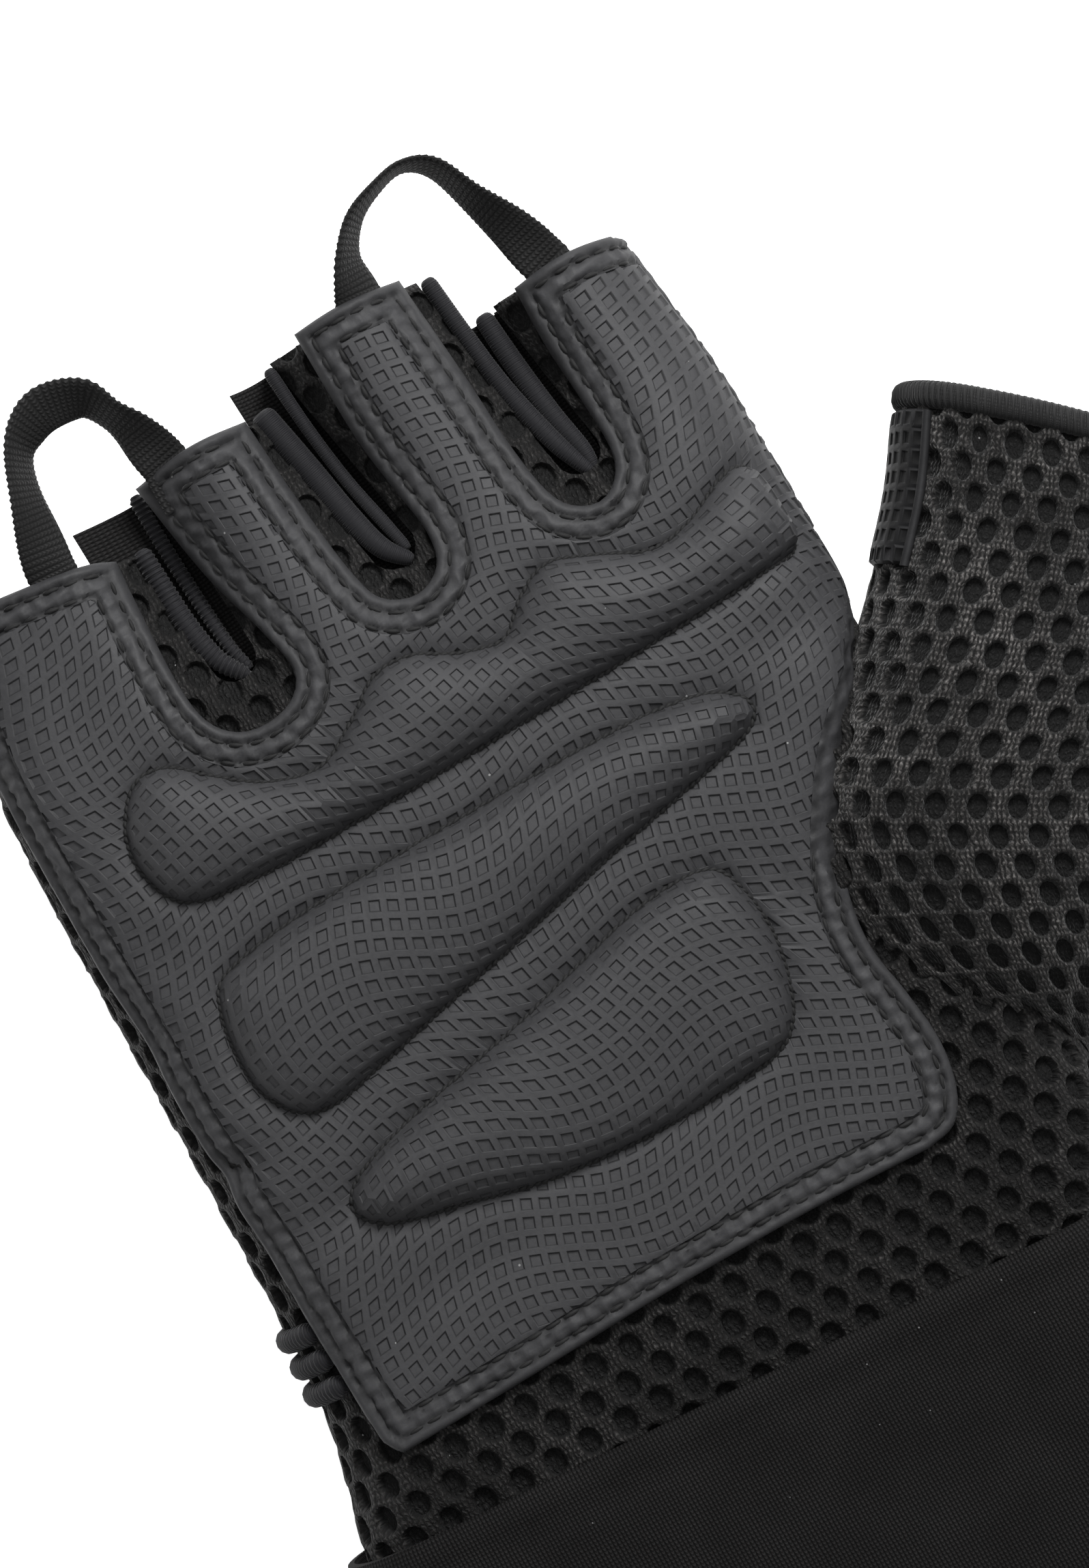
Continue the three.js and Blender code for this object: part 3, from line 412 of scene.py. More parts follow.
def gusset_line(crotch, y):
    """Where a gusset's fold lies across the glove, at a place along the fingers."""
    foot, mouth = CROTCHES[crotch]
    return foot[0] + (mouth[0] - foot[0]) * (y - foot[1]) / (mouth[1] - foot[1])


def valley(x, y):
    """How far the palm side sinks at a point."""
    sink = np.zeros_like(x)
    for name, (foot, _) in CROTCHES.items():
        share = smooth_step((y - foot[1] + 8.0) / 24.0)
        sink += share * np.exp(-(((x - gusset_line(name, y)) / VALLEY_SPREAD) ** 2))
    return VALLEY_DEPTH * sink


# %% Lay flat cloth on the form
def lay(s, y, h, side=1.0):
    """Places a point of a flat cloth: s across, y along, h above the mesh body, in millimetres.
    side is 1 for the palm and -1 for the back."""
    middle, flat, centre, rise = hand_at(y)
    across = s - middle
    round_off = np.abs(across) - flat
    angle = np.clip(round_off, 0.0, None) / ((SIDE_ROUND + rise) / 2)
    x = np.where(round_off > 0, middle + np.sign(across) * (flat + (SIDE_ROUND + h) * np.sin(angle)), s)
    z = centre + side * (rise + h) * np.cos(angle)
    if side > 0:
        z = z + CROWN * np.clip(1 - (across / flat) ** 2, 0, None)
        above = np.clip((z - centre) / rise, 0, 1)
        z = z - smooth_step(above * 1.4) * valley(x, y)
    return np.column_stack([x, y, z])


def unroll(x, y):
    """The place across the flat cloth that ends up at x in the photograph's view."""
    middle, flat, _, rise = hand_at(y)
    over = (np.abs(x - middle) - flat) / SIDE_ROUND
    angle = np.arcsin(np.clip(over, 0.0, 1.0))
    s = middle + np.sign(x - middle) * (flat + angle * (SIDE_ROUND + rise) / 2)
    return np.where((over > 0) & (over < 1), s, x)


# %% [markdown]
# ## Outlines of the flat pieces
# An outline is a list of runs. Each run is a smooth curve through its points, and two runs meet
# in a corner. Distances to an outline are used again and again: for the rolled edge, the rows of
# stitching and the crown of a pad.

# %% Helpers for lines and directions
def smooth_span(a, b, c, d, count):
    """Points on a smooth curve from b towards c, bent by the point before and the point after."""
    t = np.linspace(0, 1, count, endpoint=False)[:, None]
    return 0.5 * (2 * b + (c - a) * t + (2 * a - 5 * b + 4 * c - d) * t**2 + (3 * b - a - 3 * c + d) * t**3)


def unit(vectors):
    """The same directions, each of length one."""
    return vectors / np.linalg.norm(vectors, axis=1)[:, None]


def square_to(headings):
    """Flat directions square to flat headings."""
    return np.column_stack([headings[:, 1], -headings[:, 0]])


def line_lengths(line):
    """How far along a line each of its points is."""
    return np.concatenate([[0], np.cumsum(np.linalg.norm(np.diff(line, axis=0), axis=1))])


def along_line(at, lengths, line):
    """The places that lie so far along a line."""
    return np.column_stack([np.interp(at, lengths, values) for values in line.T])


def finer(outline, parts):
    """A closed outline with each of its steps cut into equal parts."""
    steps = zip(outline, np.roll(outline, -1, axis=0))
    return np.vstack([np.linspace(a, b, parts, endpoint=False) for a, b in steps])


# %% Outlines and distances to them
def run_curve(points, spacing=1.0):
    """A smooth curve through the points of one run."""
    p = np.array(points, float)
    if len(p) == 2:
        count = max(2, int(np.hypot(*(p[1] - p[0])) / spacing) + 1)
        return p[0] + (p[1] - p[0]) * np.linspace(0, 1, count)[:, None]
    ends = np.vstack([2 * p[0] - p[1], p, 2 * p[-1] - p[-2]])
    out = []
    for a, b, c, d in zip(ends, ends[1:], ends[2:], ends[3:]):
        out.append(smooth_span(a, b, c, d, max(2, int(np.hypot(*(c - b)) / spacing))))
    return np.vstack(out + [p[-1:]])


def outline_of(runs, spacing=1.0):
    """A closed outline from its runs, each starting where the last one ended."""
    return np.vstack([run_curve(run, spacing)[:-1] for run in runs])


def signed_depth(points, outline):
    """Distance from each point to a closed outline, positive inside."""
    a = outline
    b = np.roll(outline, -1, axis=0)
    ab = b - a
    depth = np.empty(len(points))
    for start in range(0, len(points), 20000):
        p = points[start:start + 20000, None, :]
        t = np.clip(((p - a) * ab).sum(-1) / np.maximum((ab**2).sum(-1), 1e-9), 0, 1)
        near = np.hypot(*np.moveaxis(p - a - t[..., None] * ab, -1, 0)).min(1)
        crosses = (a[:, 1] > p[..., 1]) != (b[:, 1] > p[..., 1])
        slope = np.where(ab[:, 1] == 0, 1e-9, ab[:, 1])
        left = p[..., 0] < a[:, 0] + ab[:, 0] * (p[..., 1] - a[:, 1]) / slope
        inside = (crosses & left).sum(1) % 2 == 1
        depth[start:start + 20000] = np.where(inside, near, -near)
    return depth


# %% The palm panel's outline, with a tongue on each finger
LITTLE_EDGE = [(-48, -43), (-49.3, -41), (-49.6, -37), (-50, -17), (-50.3, -5), (-50.5, 20), (-50.4, 45),
               (-49.9, 55), (-48.6, 64), (-46.5, 72.9)]
LITTLE_TIP = [(-46.5, 72.9), (-39, 72.2), (-28.5, 70.6), (-24.6, 69.2)]
FIRST_U = [(-24.6, 69.2), (-25, 62.5), (-25.3, 52.5), (-24.5, 46.5), (-21.8, 43.2), (-18, 42.3), (-14, 43.4),
           (-12.1, 46.5), (-13.2, 52.5), (-16, 62.5), (-18.2, 76)]
RING_TIP = [(-18.2, 76), (-10, 76.7), (-2.2, 76.3)]
SECOND_U = [(-2.2, 76.3), (-1.2, 62.5), (0, 53), (1.6, 48.6), (5.6, 46.8), (9.3, 48.6), (10.4, 53), (9.5, 60),
            (8.6, 68), (8.4, 82.3)]
MIDDLE_TIP = [(8.4, 82.3), (15, 82.5), (23, 81.9)]
THIRD_U = [(23, 81.9), (24.1, 67.5), (24.6, 57), (25.6, 50), (27.4, 46.8), (30.5, 45.5), (33.4, 46.9),
           (35, 50.5), (35, 58), (34.6, 66), (34.8, 73.8)]
INDEX_TIP = [(34.8, 73.8), (42, 74.3), (50, 73.4), (60, 72), (69, 70.5)]
INDEX_BACK = [(69, 70.5), (73, 58), (74, 40), (72, 22)]
THUMB_EDGE = [(72, 22), (60, 20), (51, 12.5), (43, 5), (36.5, -4), (33, -11), (32, -18), (33, -25),
              (33.6, -32), (32.5, -38), (30, -41.8), (26, -42.8)]
HEEL_EDGE = [(26, -42.8), (10, -42.1), (-11, -42), (-30, -42.6), (-48, -43)]
PANEL_RUNS = [LITTLE_EDGE, LITTLE_TIP, FIRST_U, RING_TIP, SECOND_U, MIDDLE_TIP, THIRD_U, INDEX_TIP,
              INDEX_BACK, THUMB_EDGE, HEEL_EDGE]
panel_plan = outline_of(PANEL_RUNS)
# Past this angle round the hand's edge the leather would run on under the back.
LEATHER_TURN = math.radians(100)
middle, flat, _, rise = hand_at(panel_plan[:, 1])
at_seam = middle + flat + LEATHER_TURN * (SIDE_ROUND + rise) / 2
panel_x = np.minimum(unroll(panel_plan[:, 0], panel_plan[:, 1]), at_seam)
panel_outline = np.column_stack([panel_x, panel_plan[:, 1]])

# %% The three pads' outlines
def closed_curve(points, spacing=1.0):
    """A smooth closed curve through its points."""
    p = np.array(points, float)
    out = []
    for i in range(len(p)):
        a, b, c, d = (p[(i + k) % len(p)] for k in (-1, 0, 1, 2))
        out.append(smooth_span(a, b, c, d, max(3, int(np.hypot(*(c - b)) / spacing))))
    return np.vstack(out)


PADS = {
    "knuckle_pad": closed_curve([
        (-37, 28), (-40.3, 33), (-40, 39), (-36, 44), (-31.5, 43.8), (-27, 40), (-21.5, 36), (-15, 34.5),
        (-9, 37.5), (-4, 40.8), (1, 40.8), (6.5, 38), (12, 36.8), (16, 40), (21, 42.2), (27, 40),
        (33, 37.3), (39, 38), (45, 40.8), (49, 40), (50, 34), (49.5, 29), (44, 28), (29, 27.3),
        (9, 26.8), (-11, 26.5), (-27, 26.6)]),
    "center_pad": closed_curve([
        (-38.5, 18), (-31.5, 19.6), (-21, 20.3), (-1, 20.6), (13, 20.5), (23.5, 20), (30.5, 18.5), (34, 15.6),
        (33.3, 12.9), (28, 11), (13, 8), (3, 5.8), (-7, 3.6), (-17, 1.5), (-27, -0.7), (-34.5, -2),
        (-38.6, -0.5), (-41.3, 4), (-41.5, 10), (-40.5, 14.8)]),
    "heel_pad": closed_curve([
        (-38.5, -13.5), (-35.5, -10.8), (-26.5, -8), (-11.5, -5), (-1.5, -2.5), (8.5, 0), (15.5, 0.7),
        (20, -0.2), (22, -4), (22.6, -10), (21.5, -16), (19.3, -21), (15.5, -23.6), (6.5, -24.4),
        (-3.5, -24.4), (-16.5, -22.9), (-26.5, -20.4), (-34.5, -18.4), (-38, -16)]),
}
print("panel outline", len(panel_outline), "points; pads", {k: len(v) for k, v in PADS.items()})

# %% [markdown]
# ## Relief of the palm
# The leather is one sheet over three foam pads. Along each pad's seam it is pulled down into a
# groove, and on both sides it swells. At its own edge it rolls down to the mesh, and each of the
# two rows of stitching dents it.

# %% Height of the leather above the mesh
PAD_RISE = 3.7
GROOVE = 1.1
# How a pad swells inwards and its groove fades outwards: a steep and a slow part, each a share and a reach.
PAD_SWELL = ((0.6, 1.7), (0.4, 7.0))
GROOVE_OUTSIDE = ((0.6, 0.9), (0.4, 4.0))
GROOVE_INSIDE = 0.8
STITCH_ROWS = (1.6, 3.9)
STITCH_PITCH = 2.6
# Soft dents of the leather, each with its place, its two half widths and its depth.
DENTS = [(-50.0, 16.0, 4.0, 6.0, 0.9), (-48.5, -3.0, 3.5, 2.4, 1.4), (-44.0, -14.0, 6.0, 4.0, 0.8),
         (27.0, -8.0, 2.6, 6.0, 0.8), (-44.0, 24.0, 3.0, 5.0, 0.7), (-30.0, -28.0, 9.0, 3.0, 0.6),
         (42.0, 20.0, 7.0, 4.0, 0.8), (61.0, 19.0, 6.0, 4.0, 1.1), (50.0, 11.5, 5.0, 4.0, 1.1),
         (42.0, 3.5, 4.0, 5.0, 1.1), (36.0, -6.0, 3.5, 6.0, 1.0)]


def quilting(points):
    """How far the pads lift the leather and their seams pull it down."""
    lift = np.zeros(len(points))
    for outline in PADS.values():
        depth = signed_depth(points, outline)
        inward = np.clip(depth, 0, None)
        outward = np.clip(-depth, 0, None)
        swell = sum(share * (1 - np.exp(-inward / reach)) for share, reach in PAD_SWELL)
        inside = -GROOVE * np.exp(-inward / GROOVE_INSIDE) + PAD_RISE * swell
        outside = -GROOVE * sum(share * np.exp(-outward / reach) for share, reach in GROOVE_OUTSIDE)
        lift += np.where(depth > 0, inside, outside)
    for x, y, wide, long, sink in DENTS:
        lift -= sink * np.exp(-((points[:, 0] - x) / wide) ** 2 - ((points[:, 1] - y) / long) ** 2)
    return lift


def rolled_edge(depth):
    """The leather's edge: rolled down at the rim, dented along two rows of stitching."""
    roll = -0.8 * (1 - quarter_round(depth, 1.1))
    rows = sum(-0.4 * np.exp(-(((depth - row) / 0.45) ** 2)) for row in STITCH_ROWS)
    return roll + rows


# %% A cloth that finds its own way over the pads
# Leather doesn't stretch much, so its squares lean and bend where it climbs over a pad. A grid of
# points is pulled towards equal spacing in space, again and again, until it has settled.
PITCH = 2.32
THREAD_LENGTHS = (2.33, 2.26)
RASTER = 0.5
# The embossing's columns and rows run in waves: how far they swing, how long a wave is, where it peaks.
SWING = (2.5, 2.34)
WAVE = (41.75, 39.55)
PEAK = (24.0, -26.0)
ROW_SLOPE = 0.099
# How strongly a thread pulls at its ends in each step of the settling.
THREAD_PULL = 0.22


def sway(s, t):
    """Where a crossing of the embossing lies, as its rows and columns run in waves."""
    x = s.copy()
    y = t.copy()
    for _ in range(6):
        fade = 1 - smooth_step((y - 42) / 34) * smooth_step((x + 28) / 6)
        x_next = s + SWING[0] * fade * np.cos(2 * np.pi * (y - PEAK[0] + 0.11 * x) / WAVE[0]) + 0.009 * y
        y_next = t + SWING[1] * np.cos(2 * np.pi * (x - PEAK[1] - 0.024 * y) / WAVE[1]) - ROW_SLOPE * x
        x, y = x_next, y_next
    return x, y


def settle(nodes_x, nodes_y, height, steps=140):
    """Moves a grid of points across the form until its threads have their own length."""
    x = nodes_x.copy()
    y = nodes_y.copy()
    x0 = nodes_x[0, 0] - 12
    y0 = nodes_y[0, 0] - 12
    gx, gy = np.meshgrid(np.arange(x0, nodes_x.max() + 12, RASTER),
                         np.arange(y0, nodes_y.max() + 12, RASTER))
    raster = height(np.column_stack([gx.ravel(), gy.ravel()])).reshape(gx.shape)

    def height_at(px, py):
        """The relief at a point, read between the places of the raster."""
        i = np.clip((px - x0) / RASTER, 0, raster.shape[1] - 2)
        j = np.clip((py - y0) / RASTER, 0, raster.shape[0] - 2)
        a, b = i.astype(int), j.astype(int)
        u, v = i - a, j - b
        return ((raster[b, a] * (1 - u) + raster[b, a + 1] * u) * (1 - v)
                + (raster[b + 1, a] * (1 - u) + raster[b + 1, a + 1] * u) * v)

    for _ in range(steps):
        z = height_at(x, y)
        push_x = np.zeros_like(x)
        push_y = np.zeros_like(y)
        for axis in (0, 1):
            dx, dy, dz = (np.diff(q, axis=axis) for q in (x, y, z))
            length = np.sqrt(dx * dx + dy * dy + dz * dz)
            pull = (length - THREAD_LENGTHS[axis]) / length * THREAD_PULL
            for push, d in ((push_x, dx), (push_y, dy)):
                low = [slice(None)] * 2
                high = [slice(None)] * 2
                low[axis] = slice(None, -1)
                high[axis] = slice(1, None)
                push[tuple(low)] += pull * d
                push[tuple(high)] -= pull * d
        x += push_x
        y += push_y
    return x, y


# %% Small helpers for meshes
def new_object(name, vertices, faces):
    """A mesh object from vertices in millimetres."""
    mesh = bpy.data.meshes.new(name)
    mesh.from_pydata([tuple(v) for v in np.asarray(vertices, float) * MM], [], [tuple(f) for f in faces])
    mesh.update()
    piece = bpy.data.objects.new(name, mesh)
    bpy.context.scene.collection.objects.link(piece)
    return piece


def select_only(piece):
    """Leaves one object selected and active."""
    bpy.ops.object.select_all(action="DESELECT")
    piece.select_set(True)
    bpy.context.view_layer.objects.active = piece


def read_vertices(piece):
    """The vertices of a piece, in millimetres."""
    flat = np.empty(len(piece.data.vertices) * 3)
    piece.data.vertices.foreach_get("co", flat)
    return flat.reshape(-1, 3) / MM


def write_vertices(piece, vertices):
    """Moves the vertices of a piece, given in millimetres."""
    piece.data.vertices.foreach_set("co", (np.asarray(vertices) * MM).ravel())
    piece.data.update()


def in_edit_mode(piece, operator, **settings):
    """Runs a mesh operator on the whole of a piece."""
    select_only(piece)
    bpy.ops.object.mode_set(mode="EDIT")
    bpy.ops.mesh.select_all(action="SELECT")
    operator(**settings)
    bpy.ops.object.mode_set(mode="OBJECT")


def turn_outwards(piece):
    """Makes all the faces of a piece look outwards."""
    in_edit_mode(piece, bpy.ops.mesh.normals_make_consistent, inside=False)


def cut_along(piece, outline, operation="INTERSECT", reach=5.0):
    """Cuts a flat cloth along an outline and keeps what lies inside it, or outside."""
    n = len(outline)
    points = [(x, y, z) for z in (-reach, reach) for x, y in outline]
    sides = [(i, (i + 1) % n, n + (i + 1) % n, n + i) for i in range(n)]
    cutter = new_object("cutter", points, [tuple(reversed(range(n))), tuple(range(n, 2 * n))] + sides)
    turn_outwards(cutter)
    select_only(piece)
    modifier = piece.modifiers.new("cut", "BOOLEAN")
    modifier.operation = operation
    modifier.solver = "EXACT"
    modifier.object = cutter
    bpy.ops.object.modifier_apply(modifier=modifier.name)
    bpy.data.objects.remove(cutter)


def thicken(piece, wall, offset=-1.0):
    """Gives a sheet its wall, below it unless another offset is stated."""
    thickness = piece.modifiers.new("thickness", "SOLIDIFY")
    thickness.thickness = wall * MM
    thickness.offset = offset
    select_only(piece)
    bpy.ops.object.modifier_apply(modifier="thickness")


def copy_of(piece, name):
    """A copy of a piece with its own mesh."""
    twin = piece.copy()
    twin.data = piece.data.copy()
    twin.name = name
    bpy.context.scene.collection.objects.link(twin)
    return twin


def keep_flat_places(piece, full_depth=1.0):
    """Writes each corner's place on the flat cloth to a UV map, and how deep it lies to an attribute."""
    flat = read_vertices(piece)
    corner_vertex = np.empty(len(piece.data.loops), dtype=np.int32)
    piece.data.loops.foreach_get("vertex_index", corner_vertex)
    layer = piece.data.uv_layers.get("cloth") or piece.data.uv_layers.new(name="cloth")
    layer.data.foreach_set("uv", (flat[corner_vertex, :2] / 10.0).astype(np.float32).ravel())
    hollow = piece.data.attributes.get("hollow") or piece.data.attributes.new("hollow", "FLOAT", "POINT")
    hollow.data.foreach_set("value", np.clip(-flat[:, 2] / full_depth, 0.0, 1.0).astype(np.float32))


def round_shading(piece, angle=None):
    """Smooth shading, all over or up to an angle."""
    select_only(piece)
    if angle is None:
        bpy.ops.object.shade_smooth()
    else:
        bpy.ops.object.shade_smooth_by_angle(angle=math.radians(angle))


def dress(piece, nodes, finish):
    """Lets a piece ride on the glove, stand for its nodes and take its finish."""
    piece.data.materials.clear()
    piece.data.materials.append(FINISHES[finish])
    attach(piece, "root")
    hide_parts(*nodes)
    print(piece.name, len(piece.data.polygons), "faces")


# %% [markdown]
# ## Embossed leather
# The palm is covered in small pressed squares. They are real hollows here: each whole cell of the
# grid is inset three times, first for the flat ridge, then for its rounded shoulder and last for
# the wall down to the bottom of the pit. A bump texture would not catch the light at the edges.

# %% Flat leather, cut into panel and pads
SHEET_LOW = (-68.0, -62.0)
SHEET_HIGH = (90.0, 100.0)
# The relief is overdrawn this much while the grid settles, which spreads the squares on the pads' sides.
SETTLING = 1.3


def relief_under(grid):
    """The relief under crossings of the embossing that haven't been swayed yet."""
    return quilting(np.column_stack(sway(grid[:, 0], grid[:, 1]))) * SETTLING


columns, rows = (int((high - low) / PITCH) for low, high in zip(SHEET_LOW, SHEET_HIGH))
grid_x, grid_y = np.meshgrid(SHEET_LOW[0] + PITCH * np.arange(columns),
                             SHEET_LOW[1] + PITCH * np.arange(rows))
flat_x, flat_y = sway(*settle(grid_x, grid_y, relief_under))

bpy.ops.object.select_all(action="DESELECT")
bpy.ops.mesh.primitive_grid_add(x_subdivisions=columns - 1, y_subdivisions=rows - 1, size=1.0)
leather_sheet = bpy.context.object
leather_sheet.name = "leather_sheet"
write_vertices(leather_sheet, np.column_stack([flat_x.ravel(), flat_y.ravel(), np.zeros(flat_x.size)]))
thicken(leather_sheet, LEATHER)

# %% Press the squares
PIT_DEPTH = 0.3


def press_squares(sheet):
    """Insets every upward cell: its ridge, its shoulder and the wall of its pit."""
    bpy.ops.object.mode_set(mode="EDIT")
    bpy.ops.mesh.select_mode(type="FACE")
    bpy.ops.mesh.select_all(action="DESELECT")
    cells = bmesh.from_edit_mesh(sheet.data)
    for face in cells.faces:
        face.select = face.normal.z > 0.9
    bmesh.update_edit_mesh(sheet.data)
    for width, sink in ((0.36, 0.0), (0.08, -0.06), (0.13, -PIT_DEPTH + 0.06)):
        bpy.ops.mesh.inset(thickness=width * MM, depth=sink * MM, use_individual=True)
    bpy.ops.object.mode_set(mode="OBJECT")


press_squares(leather_sheet)
print("leather sheet", len(leather_sheet.data.polygons), "faces")

# %% The line inside the stitching, where the embossing ends
BORDER = 4.3


def moved_inwards(outline, distance):
    """An outline moved inwards, without the places that come too close to its other side."""
    fine = finer(outline, 4)
    across = square_to(unit(np.roll(fine, -3, axis=0) - np.roll(fine, 3, axis=0)))
    trial = signed_depth(fine[:1] + across[:1] * 0.5, outline)[0]
    moved = fine + across * distance * (1 if trial > 0 else -1)
    own = np.arange(len(fine))
    nearest = np.array([np.argmin(((fine - p) ** 2).sum(-1)) for p in moved])
    apart = np.abs(nearest - own)
    apart = np.minimum(apart, len(fine) - apart)
    kept = moved[(apart <= 5) & (signed_depth(moved, outline) > distance - 0.1)]
    steps = np.hypot(*(np.roll(kept, -1, axis=0) - kept).T)
    return kept[steps > 0.15][::2]


inner_outline = moved_inwards(panel_outline, BORDER)

# %% Cut out the panel and the pads
leather_pieces = {}
for name, outline in PADS.items():
    leather_pieces[name] = copy_of(leather_sheet, name + "_leather")
    cut_along(leather_pieces[name], outline)
palm_leather = copy_of(leather_sheet, "palm_leather")
cut_along(palm_leather, inner_outline)
for outline in PADS.values():
    cut_along(palm_leather, outline, "DIFFERENCE")
leather_pieces["palm_panel"] = palm_leather
bpy.data.objects.remove(leather_sheet)
print({name: len(piece.data.polygons) for name, piece in leather_pieces.items()})

# %% Lay the leather on the palm
# A vertex above this height belongs to the upper skin. A pad's skin reaches a little below the panel's.
UPPER_SKIN = -0.6 * LEATHER
PAD_TUCK = 0.4


def lay_leather(piece, pad):
    """Moves the flat leather onto the form, over the pads."""
    flat = read_vertices(piece)
    plan = flat[:, :2]
    top = flat[:, 2] > UPPER_SKIN
    edge = rolled_edge(signed_depth(plan, panel_outline))
    height = CLEARANCE + LEATHER + flat[:, 2] + quilting(plan) + edge
    underside = CLEARANCE - PAD_TUCK if pad else np.minimum(CLEARANCE, height)
    height = np.where(top, height, underside)
    write_vertices(piece, lay(flat[:, 0], flat[:, 1], height))


for name, piece in leather_pieces.items():
    keep_flat_places(piece, PIT_DEPTH)
    lay_leather(piece, name != "palm_panel")
    round_shading(piece, 32)

# %% The panel's stitched border
# Along its edge the leather is turned, sewn twice and puckered by every stitch. This strip has
# cells a sixth of an embossed square wide, so that the puckers are soft, and only traces of the squares.
BORDER_CELL = 0.4
# The pitch that the pressed squares have settled to along the edge.
BORDER_SQUARES = (2.21, 2.3)
# Each row of stitching sinks so deep, changes so much from stitch to stitch, and is so wide.
ROW_SINK = 0.5
ROW_CHANGE = 0.12
ROW_WIDTH = 0.34
# The thumb's mesh lies over the panel's edge in this box.
COVERED_X = (32.0, 62.0)
COVERED_Y = (-14.0, 30.0)
COVERED_FADE = 6.0


def way_along(points, outline):
    """How far along an outline the nearest place to each point is."""
    fine = finer(outline, 3)
    way = line_lengths(fine)
    out = np.empty(len(points))
    for start in range(0, len(points), 10000):
        p = points[start:start + 10000, None, :]
        out[start:start + 10000] = way[np.argmin(((p - fine) ** 2).sum(-1), axis=1)]
    return out


def strip_slab(name, outline, wide):
    """A closed slab of fine square cells that covers a strip along an outline."""
    low = outline.min(0) - 1.5
    counts = ((outline.max(0) + 1.5 - low) / BORDER_CELL).astype(int)
    cx, cy = np.meshgrid(np.arange(counts[0]), np.arange(counts[1]), indexing="ij")
    centres = np.column_stack([cx.ravel(), cy.ravel()]) * BORDER_CELL + low
    depth = signed_depth(centres, outline)
    near = (depth > -1.0) & (depth < wide + 0.9)
    kept = {tuple(cell) for cell in np.column_stack([cx.ravel(), cy.ravel()])[near]}
    index = {}
    points = []
    faces = []
    for i, j in kept:
        for a, b in ((i, j), (i + 1, j), (i + 1, j + 1), (i, j + 1)):
            if (a, b) not in index:
                index[(a, b)] = len(points)
                place = low + (np.array((a, b)) - 0.5) * BORDER_CELL
                points += [(*place, 0.0), (*place, -LEATHER)]
    for i, j in kept:
        ring = [index[c] for c in ((i, j), (i + 1, j), (i + 1, j + 1), (i, j + 1))]
        faces += [tuple(ring), tuple(v + 1 for v in reversed(ring))]
        for k, beside in enumerate(((i, j - 1), (i + 1, j), (i, j + 1), (i - 1, j))):
            if beside not in kept:
                a, b = ring[k], ring[(k + 1) % 4]
                faces.append((b, a, a + 1, b + 1))
    return new_object(name, points, faces)


def covered_share(plan):
    """One where the thumb's mesh lies over the panel's edge, where it shows no stitching."""
    x, y = plan.T
    beside_thumb = (x > COVERED_X[0]) * (y < COVERED_Y[1])
    fade_y = smooth_step((y - COVERED_Y[0]) / COVERED_FADE)
    return fade_y * beside_thumb * smooth_step((COVERED_X[1] - x) / COVERED_FADE)


def puckers(plan, depth):
    """The relief of two rows of stitching: sunk at each thread, swollen between stitches."""
    way = way_along(plan, panel_outline)
    turn = 2 * np.pi * way / STITCH_PITCH + 0.8 * np.sin(way / 3.7) + 0.5 * np.sin(way / 1.9)
    relief = np.zeros(len(plan))
    for row, shift in zip(STITCH_ROWS, (0.0, 1.6)):
        sink = ROW_SINK + ROW_CHANGE * np.cos(turn + shift)
        relief -= sink * np.exp(-(((depth - row) / ROW_WIDTH) ** 2))
    relief += 0.05 * np.cos(turn + 2.4) * np.exp(-(((depth - 2.8) / 0.7) ** 2))
    relief += 0.03 * np.cos(turn * 0.37 + 1.0) * np.exp(-(((depth - 0.6) / 0.5) ** 2))
    relief = relief * (1 - covered_share(plan))
    s = plan[:, 0] - SWING[0] * np.cos(2 * np.pi * (plan[:, 1] - PEAK[0]) / WAVE[0])
    t = plan[:, 1] - SWING[1] * np.cos(2 * np.pi * (plan[:, 0] - PEAK[1]) / WAVE[1]) + ROW_SLOPE * plan[:, 0]
    square = np.ones(len(plan))
    for q in (s / BORDER_SQUARES[0], t / BORDER_SQUARES[1]):
        square *= smooth_step((0.37 - np.abs(q - np.floor(q) - 0.5)) / 0.12)
    return relief - 0.28 * square * smooth_step((depth - 0.7) / 0.5)


border = strip_slab("panel_border", panel_outline, BORDER)
cut_along(border, panel_outline)
cut_along(border, inner_outline, "DIFFERENCE")
keep_flat_places(border, PIT_DEPTH)
border_flat = read_vertices(border)
border_plan = border_flat[:, :2]
border_depth = signed_depth(border_plan, panel_outline)
border_top = border_flat[:, 2] > UPPER_SKIN
# Painted shade: the border darkens in its two rows of stitch dents and a little along its rolled rim, through
# the hollow attribute.
painted_seam_shade = sum(0.5 * np.exp(-(((border_depth - row) / 0.5) ** 2)) for row in STITCH_ROWS)
painted_seam_shade = np.maximum(painted_seam_shade, 0.16 * smooth_step((2.0 - border_depth) / 0.8))
border.data.attributes["hollow"].data.foreach_set("value", painted_seam_shade.astype(np.float32))
border_lift = quilting(border_plan)
border_roll = -0.7 * (1 - quarter_round(border_depth, 0.8))
border_rise = CLEARANCE + LEATHER + border_lift + border_roll + puckers(border_plan, border_depth)
border_rise -= 2.0 * covered_share(border_plan) * np.exp(-((border_depth / 2.2) ** 2))
border_under = np.minimum(CLEARANCE + np.minimum(0, border_lift), border_rise - 0.3)
border_height = np.where(border_top, border_rise, border_under)
write_vertices(border, lay(border_flat[:, 0], border_flat[:, 1], border_height))
round_shading(border, 60)
for name, piece in leather_pieces.items():
    dress(piece, [name], "leather")
dress(border, ["palm_panel"], "leather")

# %% [markdown]
# ## Spacer mesh
# The body and the thumb are an open knit: rows of round holes, each row shifted by half a hole, in
# a soft layer over a ground; the holes' walls and floor are painted nearly black, as painted shade.
# A cell is a six-sided patch with a ring for the hole's rounded rim, one for its wall and a floor.
# Cells share their borders, so a slab of them is one closed piece.

